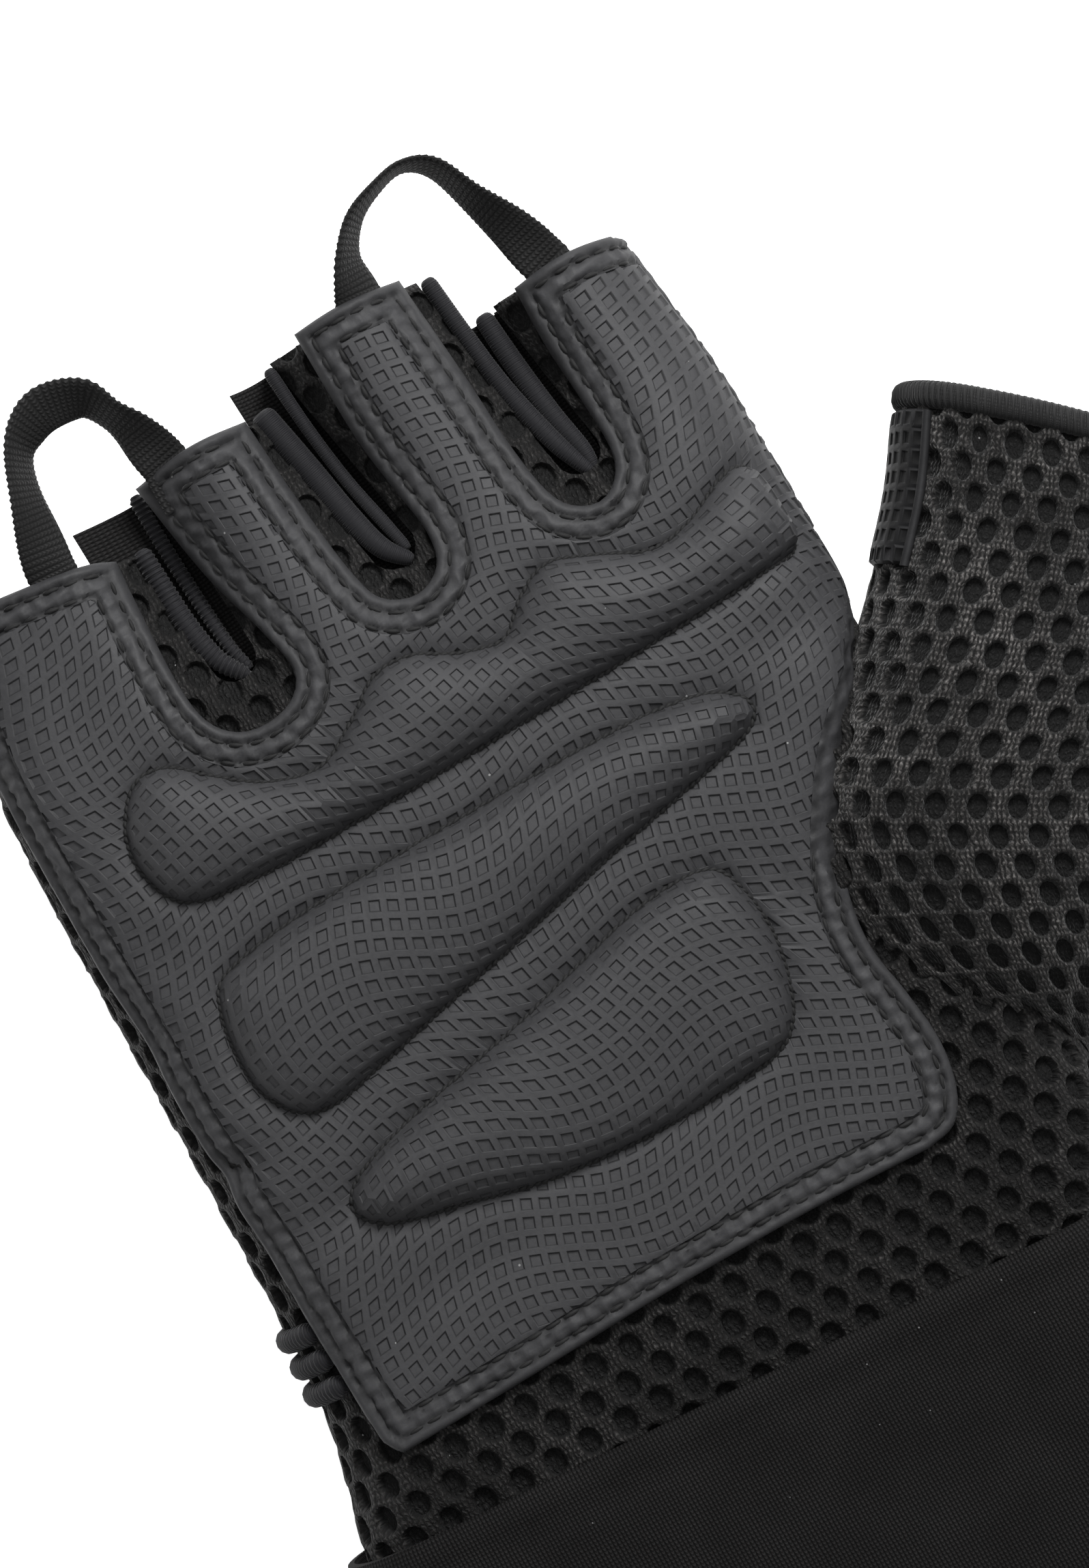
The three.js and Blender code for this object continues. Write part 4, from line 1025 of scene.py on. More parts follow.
# %% A flat slab of spacer mesh
HOLE_PITCH = 4.9
ROW_PITCH = 3.75
# Each ring's half width, half length and height.
HOLE_RINGS = ((1.7, 1.94, -0.16), (1.5, 1.82, -0.5), (1.28, 1.64, -1.4))
CELL_POINTS = 12
MESH_SEED = 11
# How far the yarn and the holes stray, and how much the holes differ in size.
STRAY = 0.1
HOLE_SIZES = (0.95, 1.03)


def mesh_slab(name, low, high, wall):
    """A flat slab of holes between two corners, its upper side at height 0."""
    a, r = HOLE_PITCH, ROW_PITCH
    corners = np.array([(0, 2 * r / 3), (-a / 2, r / 3), (-a / 2, -r / 3),
                        (0, -2 * r / 3), (a / 2, -r / 3), (a / 2, r / 3)])
    border = np.empty((CELL_POINTS, 2))
    border[0::2] = corners
    border[1::2] = (corners + np.roll(corners, -1, axis=0)) / 2
    directions = np.arctan2(border[:, 1] / r, border[:, 0] / a)
    shared = {}
    points = []
    faces = []
    used = {}
    uneven = np.random.default_rng(MESH_SEED)

    def border_index(x, y):
        """The upper vertex at a place on a cell's border, with its lower one right after it."""
        key = (round((x - low[0]) / a * 4), round((y - low[1]) / r * 6))
        if key not in shared:
            shared[key] = len(points)
            dx, dy, dz = uneven.uniform(-STRAY, STRAY, 3)
            points.append((x + dx, y + dy, dz))
            points.append((x + dx, y + dy, -wall))
        return shared[key]

    for j in range(int((high[1] - low[1]) / r) + 1):
        for i in range(int((high[0] - low[0]) / a) + 1):
            cx = low[0] + (i + 0.5 * (j % 2)) * a
            cy = low[1] + j * r
            sway_x, sway_y = uneven.uniform(-STRAY, STRAY, 2)
            swell = uneven.uniform(*HOLE_SIZES)
            rings = [[border_index(cx + x, cy + y) for x, y in border]]
            for across, along, depth in HOLE_RINGS:
                start = len(points)
                points += [(cx + sway_x + swell * across * math.cos(t),
                            cy + sway_y + swell * along * math.sin(t), depth) for t in directions]
                rings.append(list(range(start, start + CELL_POINTS)))
            around = [(k, (k + 1) % CELL_POINTS) for k in range(CELL_POINTS)]
            for outer, inner in zip(rings, rings[1:]):
                faces += [(outer[k], outer[after], inner[after], inner[k]) for k, after in around]
            faces.append(tuple(rings[-1]))
            faces.append(tuple(v + 1 for v in reversed(rings[0])))
            for k, after in around:
                used[(rings[0][k], rings[0][after])] = True
    for start, end in used:
        if (end, start) not in used:
            faces.append((end, start, start + 1, end + 1))
    return new_object(name, points, faces)


# %% Outlines of the mesh body
SEAM_ANGLE = math.radians(98)
GUSSET_HALF = 3.0
GUSSET_FROM = 2.6
MOUTH_FROM = 60.0


def side_seam(y, sign, angle=SEAM_ANGLE):
    """Where the side seam lies on the flat cloth."""
    middle, flat, _, rise = hand_at(np.asarray(y, float))
    return middle + sign * (flat + angle * (SIDE_ROUND + rise) / 2)


def body_outline(angle):
    """The flat outline of one side of the mesh body, with a slot for each gusset."""
    down = np.arange(72.0, -69.0, -3.0)
    points = [(x, y) for x, y in zip(side_seam(down, -1, angle), down)]
    up = np.arange(-68.0, 74.0, 3.0)
    points += [(x, y) for x, y in zip(side_seam(up, 1, angle), up)]
    mouths = {"middle_index": (73.6, 80.9), "ring_middle": (81.2, 75.7), "little_ring": (75.6, 68.8)}
    for name, (right_y, left_y) in mouths.items():
        foot = CROTCHES[name][0]
        right = gusset_line(name, right_y) + GUSSET_HALF
        left = gusset_line(name, left_y) - GUSSET_HALF
        turn = np.linspace(0, -math.pi, 9)
        points += [(right, right_y)]
        points += [(foot[0] + GUSSET_HALF * math.cos(t), foot[1] + GUSSET_FROM + GUSSET_HALF * math.sin(t))
                   for t in turn]
        points += [(left, left_y)]
    return np.array(points)


# %% Sew the mesh body
def mesh_side(name, side, node):
    """One side of the mesh body: holes, cut to its outline and laid on the form."""
    angle = SEAM_ANGLE if side > 0 else math.pi - SEAM_ANGLE
    outline = body_outline(angle)
    piece = mesh_slab(name, outline.min(0) - 4, outline.max(0) + 4, MESH_WALL)
    cut_along(piece, outline, reach=6.0)
    keep_flat_places(piece)
    flat = read_vertices(piece)
    depth = signed_depth(flat[:, :2], outline)
    roll = -0.7 * (1 - quarter_round(depth, 1.0))
    at_mouth = (flat[:, 1] > MOUTH_FROM) & (flat[:, 2] > -0.3)
    height = np.minimum(flat[:, 2], 0.2 if side > 0 else 0.0) + np.where(at_mouth, roll, 0.0)
    write_vertices(piece, lay(flat[:, 0], flat[:, 1], height, side))
    if side < 0:
        in_edit_mode(piece, bpy.ops.mesh.flip_normals)
    round_shading(piece, 50)
    # The body takes the darker copy of the spacer mesh: painted shade.
    dress(piece, [node], "shaded_mesh")


mesh_side("palm_mesh_cloth", 1.0, "palm_mesh")
mesh_side("back_mesh_cloth", -1.0, "back_mesh")

# %% [markdown]
# ## The thumb
# The stall is a tube of the same mesh, wider at the ball of the thumb. `lay_thumb` wraps flat cloth
# round it. Its hem is overlocked, and a strip of the palm leather lies on the side that faces the
# index finger.

# %% Sections of the thumb, in millimetres
# Each row holds the way along it, x, y, turn in degrees, half width, floor and top.
THUMB = np.array([
    (-6.0, 48.8, -46.0, -24.0, 3.0, 7.5, 12.0), (0.0, 48.4, -40.4, -24.0, 8.6, 4.8, 15.5),
    (6.5, 47.1, -34.0, -25.0, 15.4, 2.9, 22.7), (17.5, 48.2, -23.0, -27.0, 20.3, 1.5, 26.5),
    (31.0, 52.1, -10.2, -31.0, 22.1, 1.1, 27.0), (53.0, 68.1, 5.0, -36.0, 20.5, 0.9, 25.7),
    (69.3, 79.0, 17.0, -37.0, 19.9, 0.8, 24.0), (81.9, 85.6, 27.7, -38.5, 19.5, 0.8, 22.7),
    (90.0, 90.8, 34.2, -38.5, 19.4, 0.8, 22.5),
])
THUMB_SOFT = soften(THUMB, 3.5)
THUMB_GIRTH = 117.6
HALF_GIRTH = THUMB_GIRTH / 2
THUMB_MOUTH = 82.4
THUMB_ROUND = 10.0
# The mouth drops away from its highest place, and the cloth below follows over the last part of the tube.
MOUTH_DROP = 4.0
MOUTH_HIGHEST = -20.0
DROP_FROM = 55.0
DROP_OVER = 25.0


def lay_thumb(u, t, h):
    """Places a point of flat cloth on the thumb: u round it from the palm side, t along it."""
    drop = MOUTH_DROP * (1 - np.cos(2 * np.pi * (u - MOUTH_HIGHEST) / THUMB_GIRTH)) / 2
    t = t - drop * smooth_step((t - DROP_FROM) / DROP_OVER)
    x, y, turn, half, floor_z, top = along_line(t, THUMB_SOFT[:, 0], THUMB_SOFT[:, 1:]).T
    turn = np.radians(turn)
    rise = (top - floor_z) / 2
    bend = np.minimum(THUMB_ROUND, half * 0.8)
    flat = half - bend
    mean = (bend + rise) / 2
    girth = 4 * flat + 2 * math.pi * mean
    way = u / THUMB_GIRTH * girth
    round_off = np.abs(way) - flat
    angle = np.clip(round_off / mean, 0.0, math.pi)
    past = np.clip(round_off - math.pi * mean, 0.0, None)
    across = np.where(round_off > 0, np.sign(way) * (flat - past + (bend + h) * np.sin(angle)), way)
    crown = CROWN * np.clip(1 - (across / flat) ** 2, 0, None) * (angle <= 0)
    z = (top + floor_z) / 2 + (rise + h) * np.cos(angle) + crown
    return np.column_stack([x + across * np.cos(turn), y + across * np.sin(turn), z])


# %% Sew the thumb stall
STALL_FROM = -5.0
STALL_TO = 79.5
STALL_HIDDEN = 3.0
stall = mesh_slab("thumb_stall_cloth", (-HALF_GIRTH - 4, -10), (HALF_GIRTH + 4, 86), MESH_WALL)
cut_along(stall, np.array([(-HALF_GIRTH, STALL_FROM), (HALF_GIRTH, STALL_FROM), (HALF_GIRTH, STALL_TO),
                           (-HALF_GIRTH, STALL_TO)]), reach=6.0)
keep_flat_places(stall)
stall_flat = read_vertices(stall)
write_vertices(stall, lay_thumb(stall_flat[:, 0], stall_flat[:, 1], stall_flat[:, 2]))


def depth_in_hand(points):
    """How deep points lie inside the hand's form, roughly, in millimetres."""
    middle, flat, centre, rise = hand_at(points[:, 1])
    across = np.clip(np.abs(points[:, 0] - middle) - flat, 0, None) / SIDE_ROUND
    up = (points[:, 2] - centre) / rise
    return (1 - np.hypot(across, up)) * SIDE_ROUND


def drop_hidden(piece, deeper_than):
    """Deletes the faces whose corners all lie deep inside the hand."""
    hidden = depth_in_hand(read_vertices(piece)) > deeper_than
    cloth = bmesh.new()
    cloth.from_mesh(piece.data)
    cloth.verts.ensure_lookup_table()
    inside = [face for face in cloth.faces if all(hidden[v.index] for v in face.verts)]
    bmesh.ops.delete(cloth, geom=inside, context="FACES")
    cloth.to_mesh(piece.data)
    cloth.free()


drop_hidden(stall, STALL_HIDDEN)
round_shading(stall, 50)
dress(stall, ["thumb_stall"], "mesh")

# %% [markdown]
# ## Bands, cords and rolls
# Hems, loops, ribs and rolls are long pieces with one section that changes along the way. Each is
# lofted: a ring of points is laid at every step of a path and the rings are bridged. The steps are
# fine enough to hold the ribs of the knit, which are real waves in the skin.

# %% Loft a piece from its rings
def tube_faces(n, k, closed=False):
    """The faces that bridge n rings of k points, with a cap at both ends unless it closes on itself."""
    faces = [(i * k + j, i * k + (j + 1) % k, (i + 1) % n * k + (j + 1) % k, (i + 1) % n * k + j)
             for i in range(n if closed else n - 1) for j in range(k)]
    if not closed:
        faces += [tuple(reversed(range(k))), tuple(range((n - 1) * k, n * k))]
    return faces


def loft(name, rings, along, around, closed=False):
    """A skin over rings of points, with its places on the cloth in the cloth map."""
    rings = np.asarray(rings, float)
    n, k = rings.shape[:2]
    piece = new_object(name, rings.reshape(-1, 3), tube_faces(n, k, closed))
    places = []
    for i in range(n if closed else n - 1):
        here, there = along[i], along[i + 1]
        for j in range(k):
            places += [(here, around[j]), (here, around[j + 1]), (there, around[j + 1]), (there, around[j])]
    if not closed:
        places += [(along[0], around[j]) for j in reversed(range(k))]
        places += [(along[n - 1], around[j]) for j in range(k)]
    layer = piece.data.uv_layers.new(name="cloth")
    layer.data.foreach_set("uv", (np.array(places, np.float32) / 10.0).ravel())
    turn_outwards(piece)
    return piece


def join_pieces(name, pieces):
    """Joins separate meshes into one piece."""
    bpy.ops.object.select_all(action="DESELECT")
    for piece in pieces:
        piece.select_set(True)
    bpy.context.view_layer.objects.active = pieces[0]
    bpy.ops.object.join()
    joined = bpy.context.object
    joined.name = name
    return joined


def even_path(points, step):
    """A smooth path through points, in even steps, and how far along each step is."""
    fine = run_curve_3d(points)
    lengths = line_lengths(fine)
    along = np.linspace(0, lengths[-1], max(3, int(lengths[-1] / step) + 1))
    return along_line(along, lengths, fine), along


def run_curve_3d(points, steps=24):
    """A smooth curve through points that may hold more than three values each."""
    p = np.array(points, float)
    ends = np.vstack([2 * p[0] - p[1], p, 2 * p[-1] - p[-2]])
    spans = zip(ends, ends[1:], ends[2:], ends[3:])
    return np.vstack([smooth_span(a, b, c, d, steps) for a, b, c, d in spans] + [p[-1:]])


# %% [markdown]
# ## Gussets
# Between two fingers the glove has a strip of ribbed stretch cloth, folded so that two soft rolls
# look up. Each roll is the top of a wall that goes down to the back of the glove. The fine ribs run
# round the roll, like a spring.

# %% The rolls, each a row of x, y, width and how far it stands above the mesh
ROLLS = {
    "middle_index": ([(26.0, 80.7, 2.2, 0.9), (26.8, 72.0, 2.2, 0.9), (27.7, 64.0, 2.4, 0.8),
                      (29.6, 55.0, 2.4, 0.6), (31.6, 49.4, 1.7, -0.4)],
                     [(29.8, 73.4, 2.5, 0.8), (30.3, 66.0, 2.7, 0.7), (31.2, 58.0, 2.5, 0.5),
                      (32.2, 52.5, 2.0, 0.1), (32.3, 49.6, 1.4, -0.8)]),
    "ring_middle": ([(-0.2, 76.6, 3.4, 0.5), (1.6, 67.5, 3.3, 0.7), (3.0, 60.0, 3.0, 0.7),
                     (4.6, 54.3, 2.6, 0.6), (7.2, 50.9, 1.8, -0.3)],
                    [(3.4, 80.7, 1.7, 0.9), (4.0, 72.0, 1.6, 0.8), (5.0, 64.0, 1.6, 0.6),
                     (6.4, 57.0, 1.6, 0.3), (7.4, 52.4, 1.3, -0.3)]),
    "little_ring": ([(-21.6, 69.2, 2.5, 0.3), (-21.4, 64.0, 2.6, 0.7), (-21.0, 58.0, 2.7, 0.7),
                     (-19.8, 52.5, 2.5, 0.6), (-17.3, 48.6, 1.8, -0.4)],
                    [(-18.9, 75.6, 1.9, -0.6), (-18.8, 68.0, 1.9, -1.2), (-18.4, 60.0, 1.8, -1.5),
                     (-17.7, 53.0, 1.6, -1.2), (-16.7, 49.4, 1.3, -1.4)]),
}
# The pitch and the height of the ribs round each gusset's rolls.
ROLL_RIB = {"middle_index": (0.4, 0.03), "ring_middle": (0.4, 0.02), "little_ring": (0.7, 0.12)}
GUSSET_FOOT = 0.5
RING_POINTS = 20


def gusset_roll(name, stations, rib):
    """One wall of a gusset: a ribbed roll on top of a thin wall."""
    rib, rib_height = rib
    path, along = even_path(stations, rib / 4)
    cross = square_to(unit(np.gradient(path[:, :2], axis=0)))
    top = lay(path[:, 0], path[:, 1], path[:, 3])[:, 2]
    wave = rib_height * np.cos(2 * np.pi * along / rib)
    end = quarter_round(np.minimum(along, along[-1] - along), 1.2)
    half = (path[:, 2] / 2 + wave) * (0.45 + 0.55 * end)
    arc = np.linspace(-0.25, math.pi + 0.25, RING_POINTS - 6)
    rings = []
    for p, c, h, z, w in zip(path, cross, half, top, path[:, 2] / 2):
        ring = [(h * math.cos(a), z - w + h * math.sin(a)) for a in arc]
        low = GUSSET_FOOT
        for side, heights in ((-1, (0.66, 0.33, 0.0)), (1, (0.0, 0.33, 0.66))):
            ring += [(side * min(w, 0.8), low + (z - 2.2 * w - low) * q) for q in heights]
        rings.append([(p[0] + c[0] * u, p[1] + c[1] * u, v) for u, v in ring])
    around = np.linspace(0, 2 * math.pi, RING_POINTS + 1) * 1.4
    return loft(name, rings, along, around)


# Rows of y, left edge and right edge of the cloth between the two walls.
WEBS = {
    "middle_index": [(47.6, 28.6, 34.2), (60.0, 26.4, 33.8), (73.0, 24.6, 32.2)],
    "ring_middle": [(48.8, 2.8, 9.0), (60.0, 0.2, 8.2), (76.0, -2.2, 6.2), (80.4, -2.4, 5.0)],
    "little_ring": [(46.8, -21.0, -14.8), (60.0, -23.6, -15.6), (67.6, -24.6, -16.2), (69.0, -27.6, -16.6),
                    (75.0, -27.8, -17.2)],
}
WEB_WALL = 0.8
WEB_GAP = 0.5
WEB_SAG = 1.6
WEB_STEP = 0.4
WEB_POINTS = 9


def gusset_web(name, rows):
    """The cloth that joins the two walls of a gusset just under the mesh."""
    table = np.array(rows)
    along = np.arange(table[0, 0], table[-1, 0], WEB_STEP)
    left, right = (np.interp(along, table[:, 0], table[:, i]) for i in (1, 2))
    shares = np.linspace(0, 1, WEB_POINTS)
    rings = []
    for y, a, b in zip(along, left, right):
        x = a + (b - a) * shares
        rib = 0.06 * math.sin(2 * math.pi * y / (2 * WEB_STEP))
        height = -MESH_WALL - WEB_GAP - WEB_SAG * (1 - (2 * shares - 1) ** 2) + rib
        upper = lay(x, np.full(WEB_POINTS, y), height)
        lower = upper - (0, 0, WEB_WALL)
        rings.append(np.vstack([upper, lower[::-1]]))
    return loft(name, rings, along, np.linspace(0, 16, 2 * WEB_POINTS + 1))


for name, (left, right) in ROLLS.items():
    walls = [gusset_roll(name + "_roll", stations, ROLL_RIB[name]) for stations in (left, right)]
    gusset = join_pieces("gusset_" + name + "_cloth", walls)
    web = gusset_web("gusset_" + name + "_web", WEBS[name])
    round_shading(web, 60)
    dress(web, ["gusset_" + name], "wrap")
    round_shading(gusset, 60)
    dress(gusset, ["gusset_" + name], "stretch")

# %% [markdown]
# ## Pull loops
# Each loop is a length of plain-woven webbing, sewn in under the leather at two neighbouring
# fingers. It leaves its finger flat and stands on edge at the top. The route gives, at each point,
# the share of the way across, how far out it is and how upright the band stands.

# %% Routes of the loops
LOOP_WIDTH = 6.3
LOOP_THICKNESS = 0.9
LOOP_REACH = 17.0
LOOP_LIFT = 2.6
LOOP_TUCK = 5.0
WEAVE_PITCH = 0.75
WEAVE_HEIGHT = 0.1
WEAVE_ENDS = 12
LOOPS = {
    "index_middle": ((17.4, 80.7), (40.0, 73.3), [
        (.01, .14, .3), (.06, .39, .7), (.195, .67, .84), (.38, .87, .93), (.56, .99, .94), (.71, .93, .8),
        (.81, .65, .68), (.91, .37, .4), (.97, .14, .1)]),
    "little_ring": ((-32.1, 71.0), (-13.3, 76.0), [
        (.02, .17, .2), (.1, .52, .6), (.2, .82, .7), (.34, .93, .5), (.52, .94, .35), (.75, .8, .5),
        (.86, .56, .62), (.93, .38, .45), (.98, .14, .1)]),
}


def webbing_loop(name, start, end, route):
    """A band of webbing along its route, with its plain weave as relief."""
    ends = []
    for x, y in (start, end):
        height = lay(np.array([x]), np.array([y]), np.zeros(1))[0, 2]
        ends.append(np.array([x, y, height - CLEARANCE - LOOP_THICKNESS / 2]))
    tuck = np.array([0.0, -LOOP_TUCK, 0.0])
    stations = [(*(ends[0] + tuck), 0.0), (*ends[0], 0.0)]
    for across, out, stand in route:
        point = ends[0] + (ends[1] - ends[0]) * across
        lift = LOOP_LIFT * min(1, 2 * out)
        stations.append((point[0], point[1] + out * LOOP_REACH, point[2] + lift, stand))
    stations += [(*ends[1], 0.0), (*(ends[1] + tuck), 0.0)]
    path, along = even_path(stations, WEAVE_PITCH / 4)
    tangent = unit(np.gradient(path[:, :3], axis=0))
    stand = path[:, 3] * math.pi / 2
    flat_across = unit(np.column_stack([square_to(tangent), np.zeros(len(tangent))]))
    lifted = np.cross(tangent, flat_across)
    across = flat_across * np.cos(stand)[:, None] + lifted * np.sin(stand)[:, None]
    face = np.cross(across, tangent)
    places = np.linspace(-1, 1, WEAVE_ENDS)
    rings = []
    for i, s in enumerate(along):
        upper = []
        lower = []
        for j, u in enumerate(places):
            weave = WEAVE_HEIGHT * math.cos(2 * math.pi * s / WEAVE_PITCH + math.pi * (j % 2))
            bulge = LOOP_THICKNESS / 2 * (1 - 0.55 * abs(u) ** 6) - 0.08
            edge = 0.06 * math.cos(2 * math.pi * s / WEAVE_PITCH) if abs(u) == 1 else 0.0
            core = path[i, :3] + across[i] * (u * (LOOP_WIDTH / 2 + edge))
            upper.append(core + face[i] * (bulge + weave))
            lower.append(core - face[i] * (bulge + weave))
        rings.append(upper + lower[::-1])
    around = np.concatenate([places, places[::-1], places[:1]]) * LOOP_WIDTH / 2
    return loft(name, rings, along, around)


for name, (start, end, route) in LOOPS.items():
    band = webbing_loop("loop_" + name + "_webbing", start, end, route)
    round_shading(band, 70)
    dress(band, ["pull_loop_" + name], "webbing")

# %% [markdown]
# ## Elastic ribs
# Three round cords of knitted edging cross the outer edge of the hand just above the wrist. They
# are lofted round the side of the form, with the small ribs of a knitted cord.

# %% Ribs at the outer edge of the hand
RIB_RADIUS = 1.45
RIB_PLACES = {"side_rib_1": -32.3, "side_rib_2": -28.6, "side_rib_3": -24.9}
RIB_KNIT = 0.7
RIB_END_X = -50.2
RIB_POINTS = 12


def side_rib(name, y):
    """A knitted cord round the edge of the hand."""
    middle, flat, centre, rise = (float(v) for v in hand_at(y))
    start = math.acos(-min(1.0, (middle - flat - RIB_END_X) / SIDE_ROUND))
    points = [(middle - flat + (SIDE_ROUND + CLEARANCE) * math.cos(a), y,
               centre + (rise + CLEARANCE) * math.sin(a)) for a in np.linspace(start, math.pi * 1.2, 14)]
    path, along = even_path(points, RIB_KNIT / 4)
    tangent = unit(np.gradient(path, axis=0))
    out = np.column_stack([-tangent[:, 2], np.zeros(len(path)), tangent[:, 0]])
    rings = []
    for p, o, s in zip(path, out, along):
        radius = RIB_RADIUS + 0.09 * math.cos(2 * math.pi * s / RIB_KNIT)
        radius = radius * (0.3 + 0.7 * quarter_round(min(s, along[-1] - s), 1.6))
        rings.append([p + np.array([0, radius * math.cos(a), 0]) + o * radius * math.sin(a) * 0.9
                      for a in np.linspace(0, 2 * math.pi, RIB_POINTS, endpoint=False)])
    return loft(name, rings, along, np.linspace(0, 2 * math.pi * RIB_RADIUS, RIB_POINTS + 1))


for node, y in RIB_PLACES.items():
    cord = side_rib(node + "_cord", y)
    round_shading(cord, 60)
    dress(cord, [node], "stretch")

# %% [markdown]
# ## The thumb's hem and patch
# An overlocked hem is a band folded over the raw edge and whipped with slanting thread. The band is
# lofted round the mouth, and one stitch of thread is modelled and copied along it.

# %% Hem of the thumb
HEM_WIDTH = 3.3
THREAD_PITCH = 0.95
HEM_STEPS = 124


def round_thumb(t, h):
    """Points round the thumb at one place along it."""
    count = HEM_STEPS
    u = np.linspace(-HALF_GIRTH, HALF_GIRTH, count, endpoint=False)
    return lay_thumb(u, np.full(count, t), np.full(count, h))


def hem_section(turn, outside=0.0):
    """A place on the hem's rounded section: how far along the thumb it is, and how high."""
    squared = np.sign(math.cos(turn)) * abs(math.cos(turn)) ** 0.7
    along = THUMB_MOUTH - HEM_WIDTH / 2 + (HEM_WIDTH / 2 + outside / 2) * squared
    return along, -0.75 + (1.45 + outside) * math.sin(turn)


hem_profile = [hem_section(turn) for turn in np.linspace(0, 2 * math.pi, 18, endpoint=False)]
hem_rings = np.stack([round_thumb(t, h) for t, h in hem_profile], axis=1)
hem_rings[:, :, 2] = np.maximum(hem_rings[:, :, 2], 0.15)
hem_girth = np.linspace(0, THUMB_GIRTH, HEM_STEPS + 1)
hem_band = loft("thumb_hem_band", hem_rings, hem_girth, np.linspace(0, 11, 19), closed=True)

# %% Whip the hem with thread
TURN_RINGS = 10
TURN_POINTS = 5
TURN_SLANT = 0.55
THREAD_WIDE = 0.24
THREAD_HIGH = 0.2


def whipped_thread(u):
    """One turn of thread over the hem, slanting a little as it goes."""
    around = np.linspace(0, 2 * math.pi, TURN_POINTS, endpoint=False)
    rings = []
    for turn in np.linspace(-0.35, math.pi + 0.35, TURN_RINGS):
        t, h = hem_section(turn, outside=0.1)
        slant = u + TURN_SLANT * turn / math.pi
        ring = lay_thumb(slant + THREAD_WIDE * np.cos(around), np.full(TURN_POINTS, t),
                         h + THREAD_HIGH * np.sin(around))
        ring[:, 2] = np.maximum(ring[:, 2], 0.12)
        rings.append(ring)
    return rings


hem_threads = [whipped_thread(u) for u in np.arange(-HALF_GIRTH, HALF_GIRTH, THREAD_PITCH)]
one_turn = tube_faces(TURN_RINGS, TURN_POINTS)
thread_faces = [tuple(v + i * TURN_RINGS * TURN_POINTS for v in face)
                for i in range(len(hem_threads)) for face in one_turn]
whipping = new_object("hem_whipping", np.array(hem_threads).reshape(-1, 3), thread_faces)
turn_outwards(whipping)
hem_band = join_pieces("thumb_hem_band", [hem_band, whipping])
round_shading(hem_band, 70)
dress(hem_band, ["thumb_hem"], "thread")


# %% Leather patch on the thumb
PATCH_LENGTH = 19.0
PATCH_FROM = -37.0
PATCH_TO = -19.5


def sheet_between(name, low, high, size):
    """A flat primitive grid between two corners, in square cells."""
    counts = [max(2, round((b - a) / size)) for a, b in zip(low, high)]
    bpy.ops.object.select_all(action="DESELECT")
    bpy.ops.mesh.primitive_grid_add(x_subdivisions=counts[0], y_subdivisions=counts[1], size=1.0)
    sheet = bpy.context.object
    sheet.name = name
    flat = read_vertices(sheet) * MM
    span = np.array([high[0] - low[0], high[1] - low[1]])
    middle = (np.array(low) + np.array(high)) / 2
    write_vertices(sheet, np.column_stack([flat[:, :2] * span + middle, np.zeros(len(flat))]))
    return sheet


PATCH_TOP = THUMB_MOUTH - HEM_WIDTH - 0.2
PATCH_LOW = PATCH_TOP - PATCH_LENGTH
patch = sheet_between("thumb_patch_leather", (PATCH_FROM, PATCH_LOW), (PATCH_TO, PATCH_TOP), PITCH)
thicken(patch, LEATHER)
press_squares(patch)
keep_flat_places(patch, PIT_DEPTH)
patch_flat = read_vertices(patch)
patch_edge = np.minimum(np.minimum(patch_flat[:, 0] - PATCH_FROM, PATCH_TO - patch_flat[:, 0]),
                        np.minimum(patch_flat[:, 1] - PATCH_TOP + PATCH_LENGTH, PATCH_TOP - patch_flat[:, 1]))
patch_roll = -0.7 * (1 - quarter_round(patch_edge, 1.0)) * (patch_flat[:, 2] > -0.6)
patch_height = 0.4 + LEATHER + patch_flat[:, 2] * 0.7 + patch_roll - 0.7
write_vertices(patch, lay_thumb(patch_flat[:, 0], patch_flat[:, 1], patch_height))

# %% Piping along the patch
PIPING_RADIUS = 0.6
PIPING_POINTS = 10
PIPING_STEP = 0.5
piping = []
turn = np.linspace(0, 2 * math.pi, PIPING_POINTS, endpoint=False)
for t in np.arange(PATCH_LOW - 0.2, PATCH_TOP + 0.1, PIPING_STEP):
    piping.append(lay_thumb(PATCH_TO + 0.2 + PIPING_RADIUS * np.cos(turn), np.full(PIPING_POINTS, t),
                            PIPING_RADIUS + PIPING_RADIUS * np.sin(turn)))
piping_cord = loft("patch_piping", piping, np.arange(len(piping)) * PIPING_STEP,
                   np.linspace(0, 4.4, PIPING_POINTS + 1))
patch = join_pieces("thumb_patch_leather", [patch, piping_cord])
round_shading(patch, 50)
# The patch and its piping take the darker copy of the leather: painted shade.
dress(patch, ["thumb_patch"], "shaded_leather")

# %% [markdown]
# ## The wrist wrap
# The wrap is one strip of fine knit, wound once round the wrist, and its outer end lies under the
# back. It is a sheet that follows a line round the wrist, with a wall and a turned hem along both
# long edges.

# %% The line that the wrap follows round the wrist
PALM_WIDTH = 107.0
WRIST_LEFT, WRIST_RIGHT, WRIST_TOP = HAND[0, 1:4]
WRIST_MIDDLE = (WRIST_LEFT + WRIST_RIGHT) / 2
WRIST_FLAT = (WRIST_RIGHT - WRIST_LEFT) / 2 - SIDE_ROUND
WRAP_WALL = 2.0
WRAP_GAP = 0.6
WRAP_REACH = SIDE_ROUND + WRAP_GAP + WRAP_WALL / 2
WRAP_TOP_Z = WRIST_TOP + CROWN + WRAP_GAP + WRAP_WALL / 2
WRAP_INNER = (WRIST_MIDDLE - 0.34 * PALM_WIDTH, 4.8)
WRAP_OUTER = (WRIST_MIDDLE + 0.3 * PALM_WIDTH, 1.0)
WRAP_HEIGHT = 65.0
WRAP_TOP_Y = -56.3
WRAP_SLANT = math.radians(-4.0)


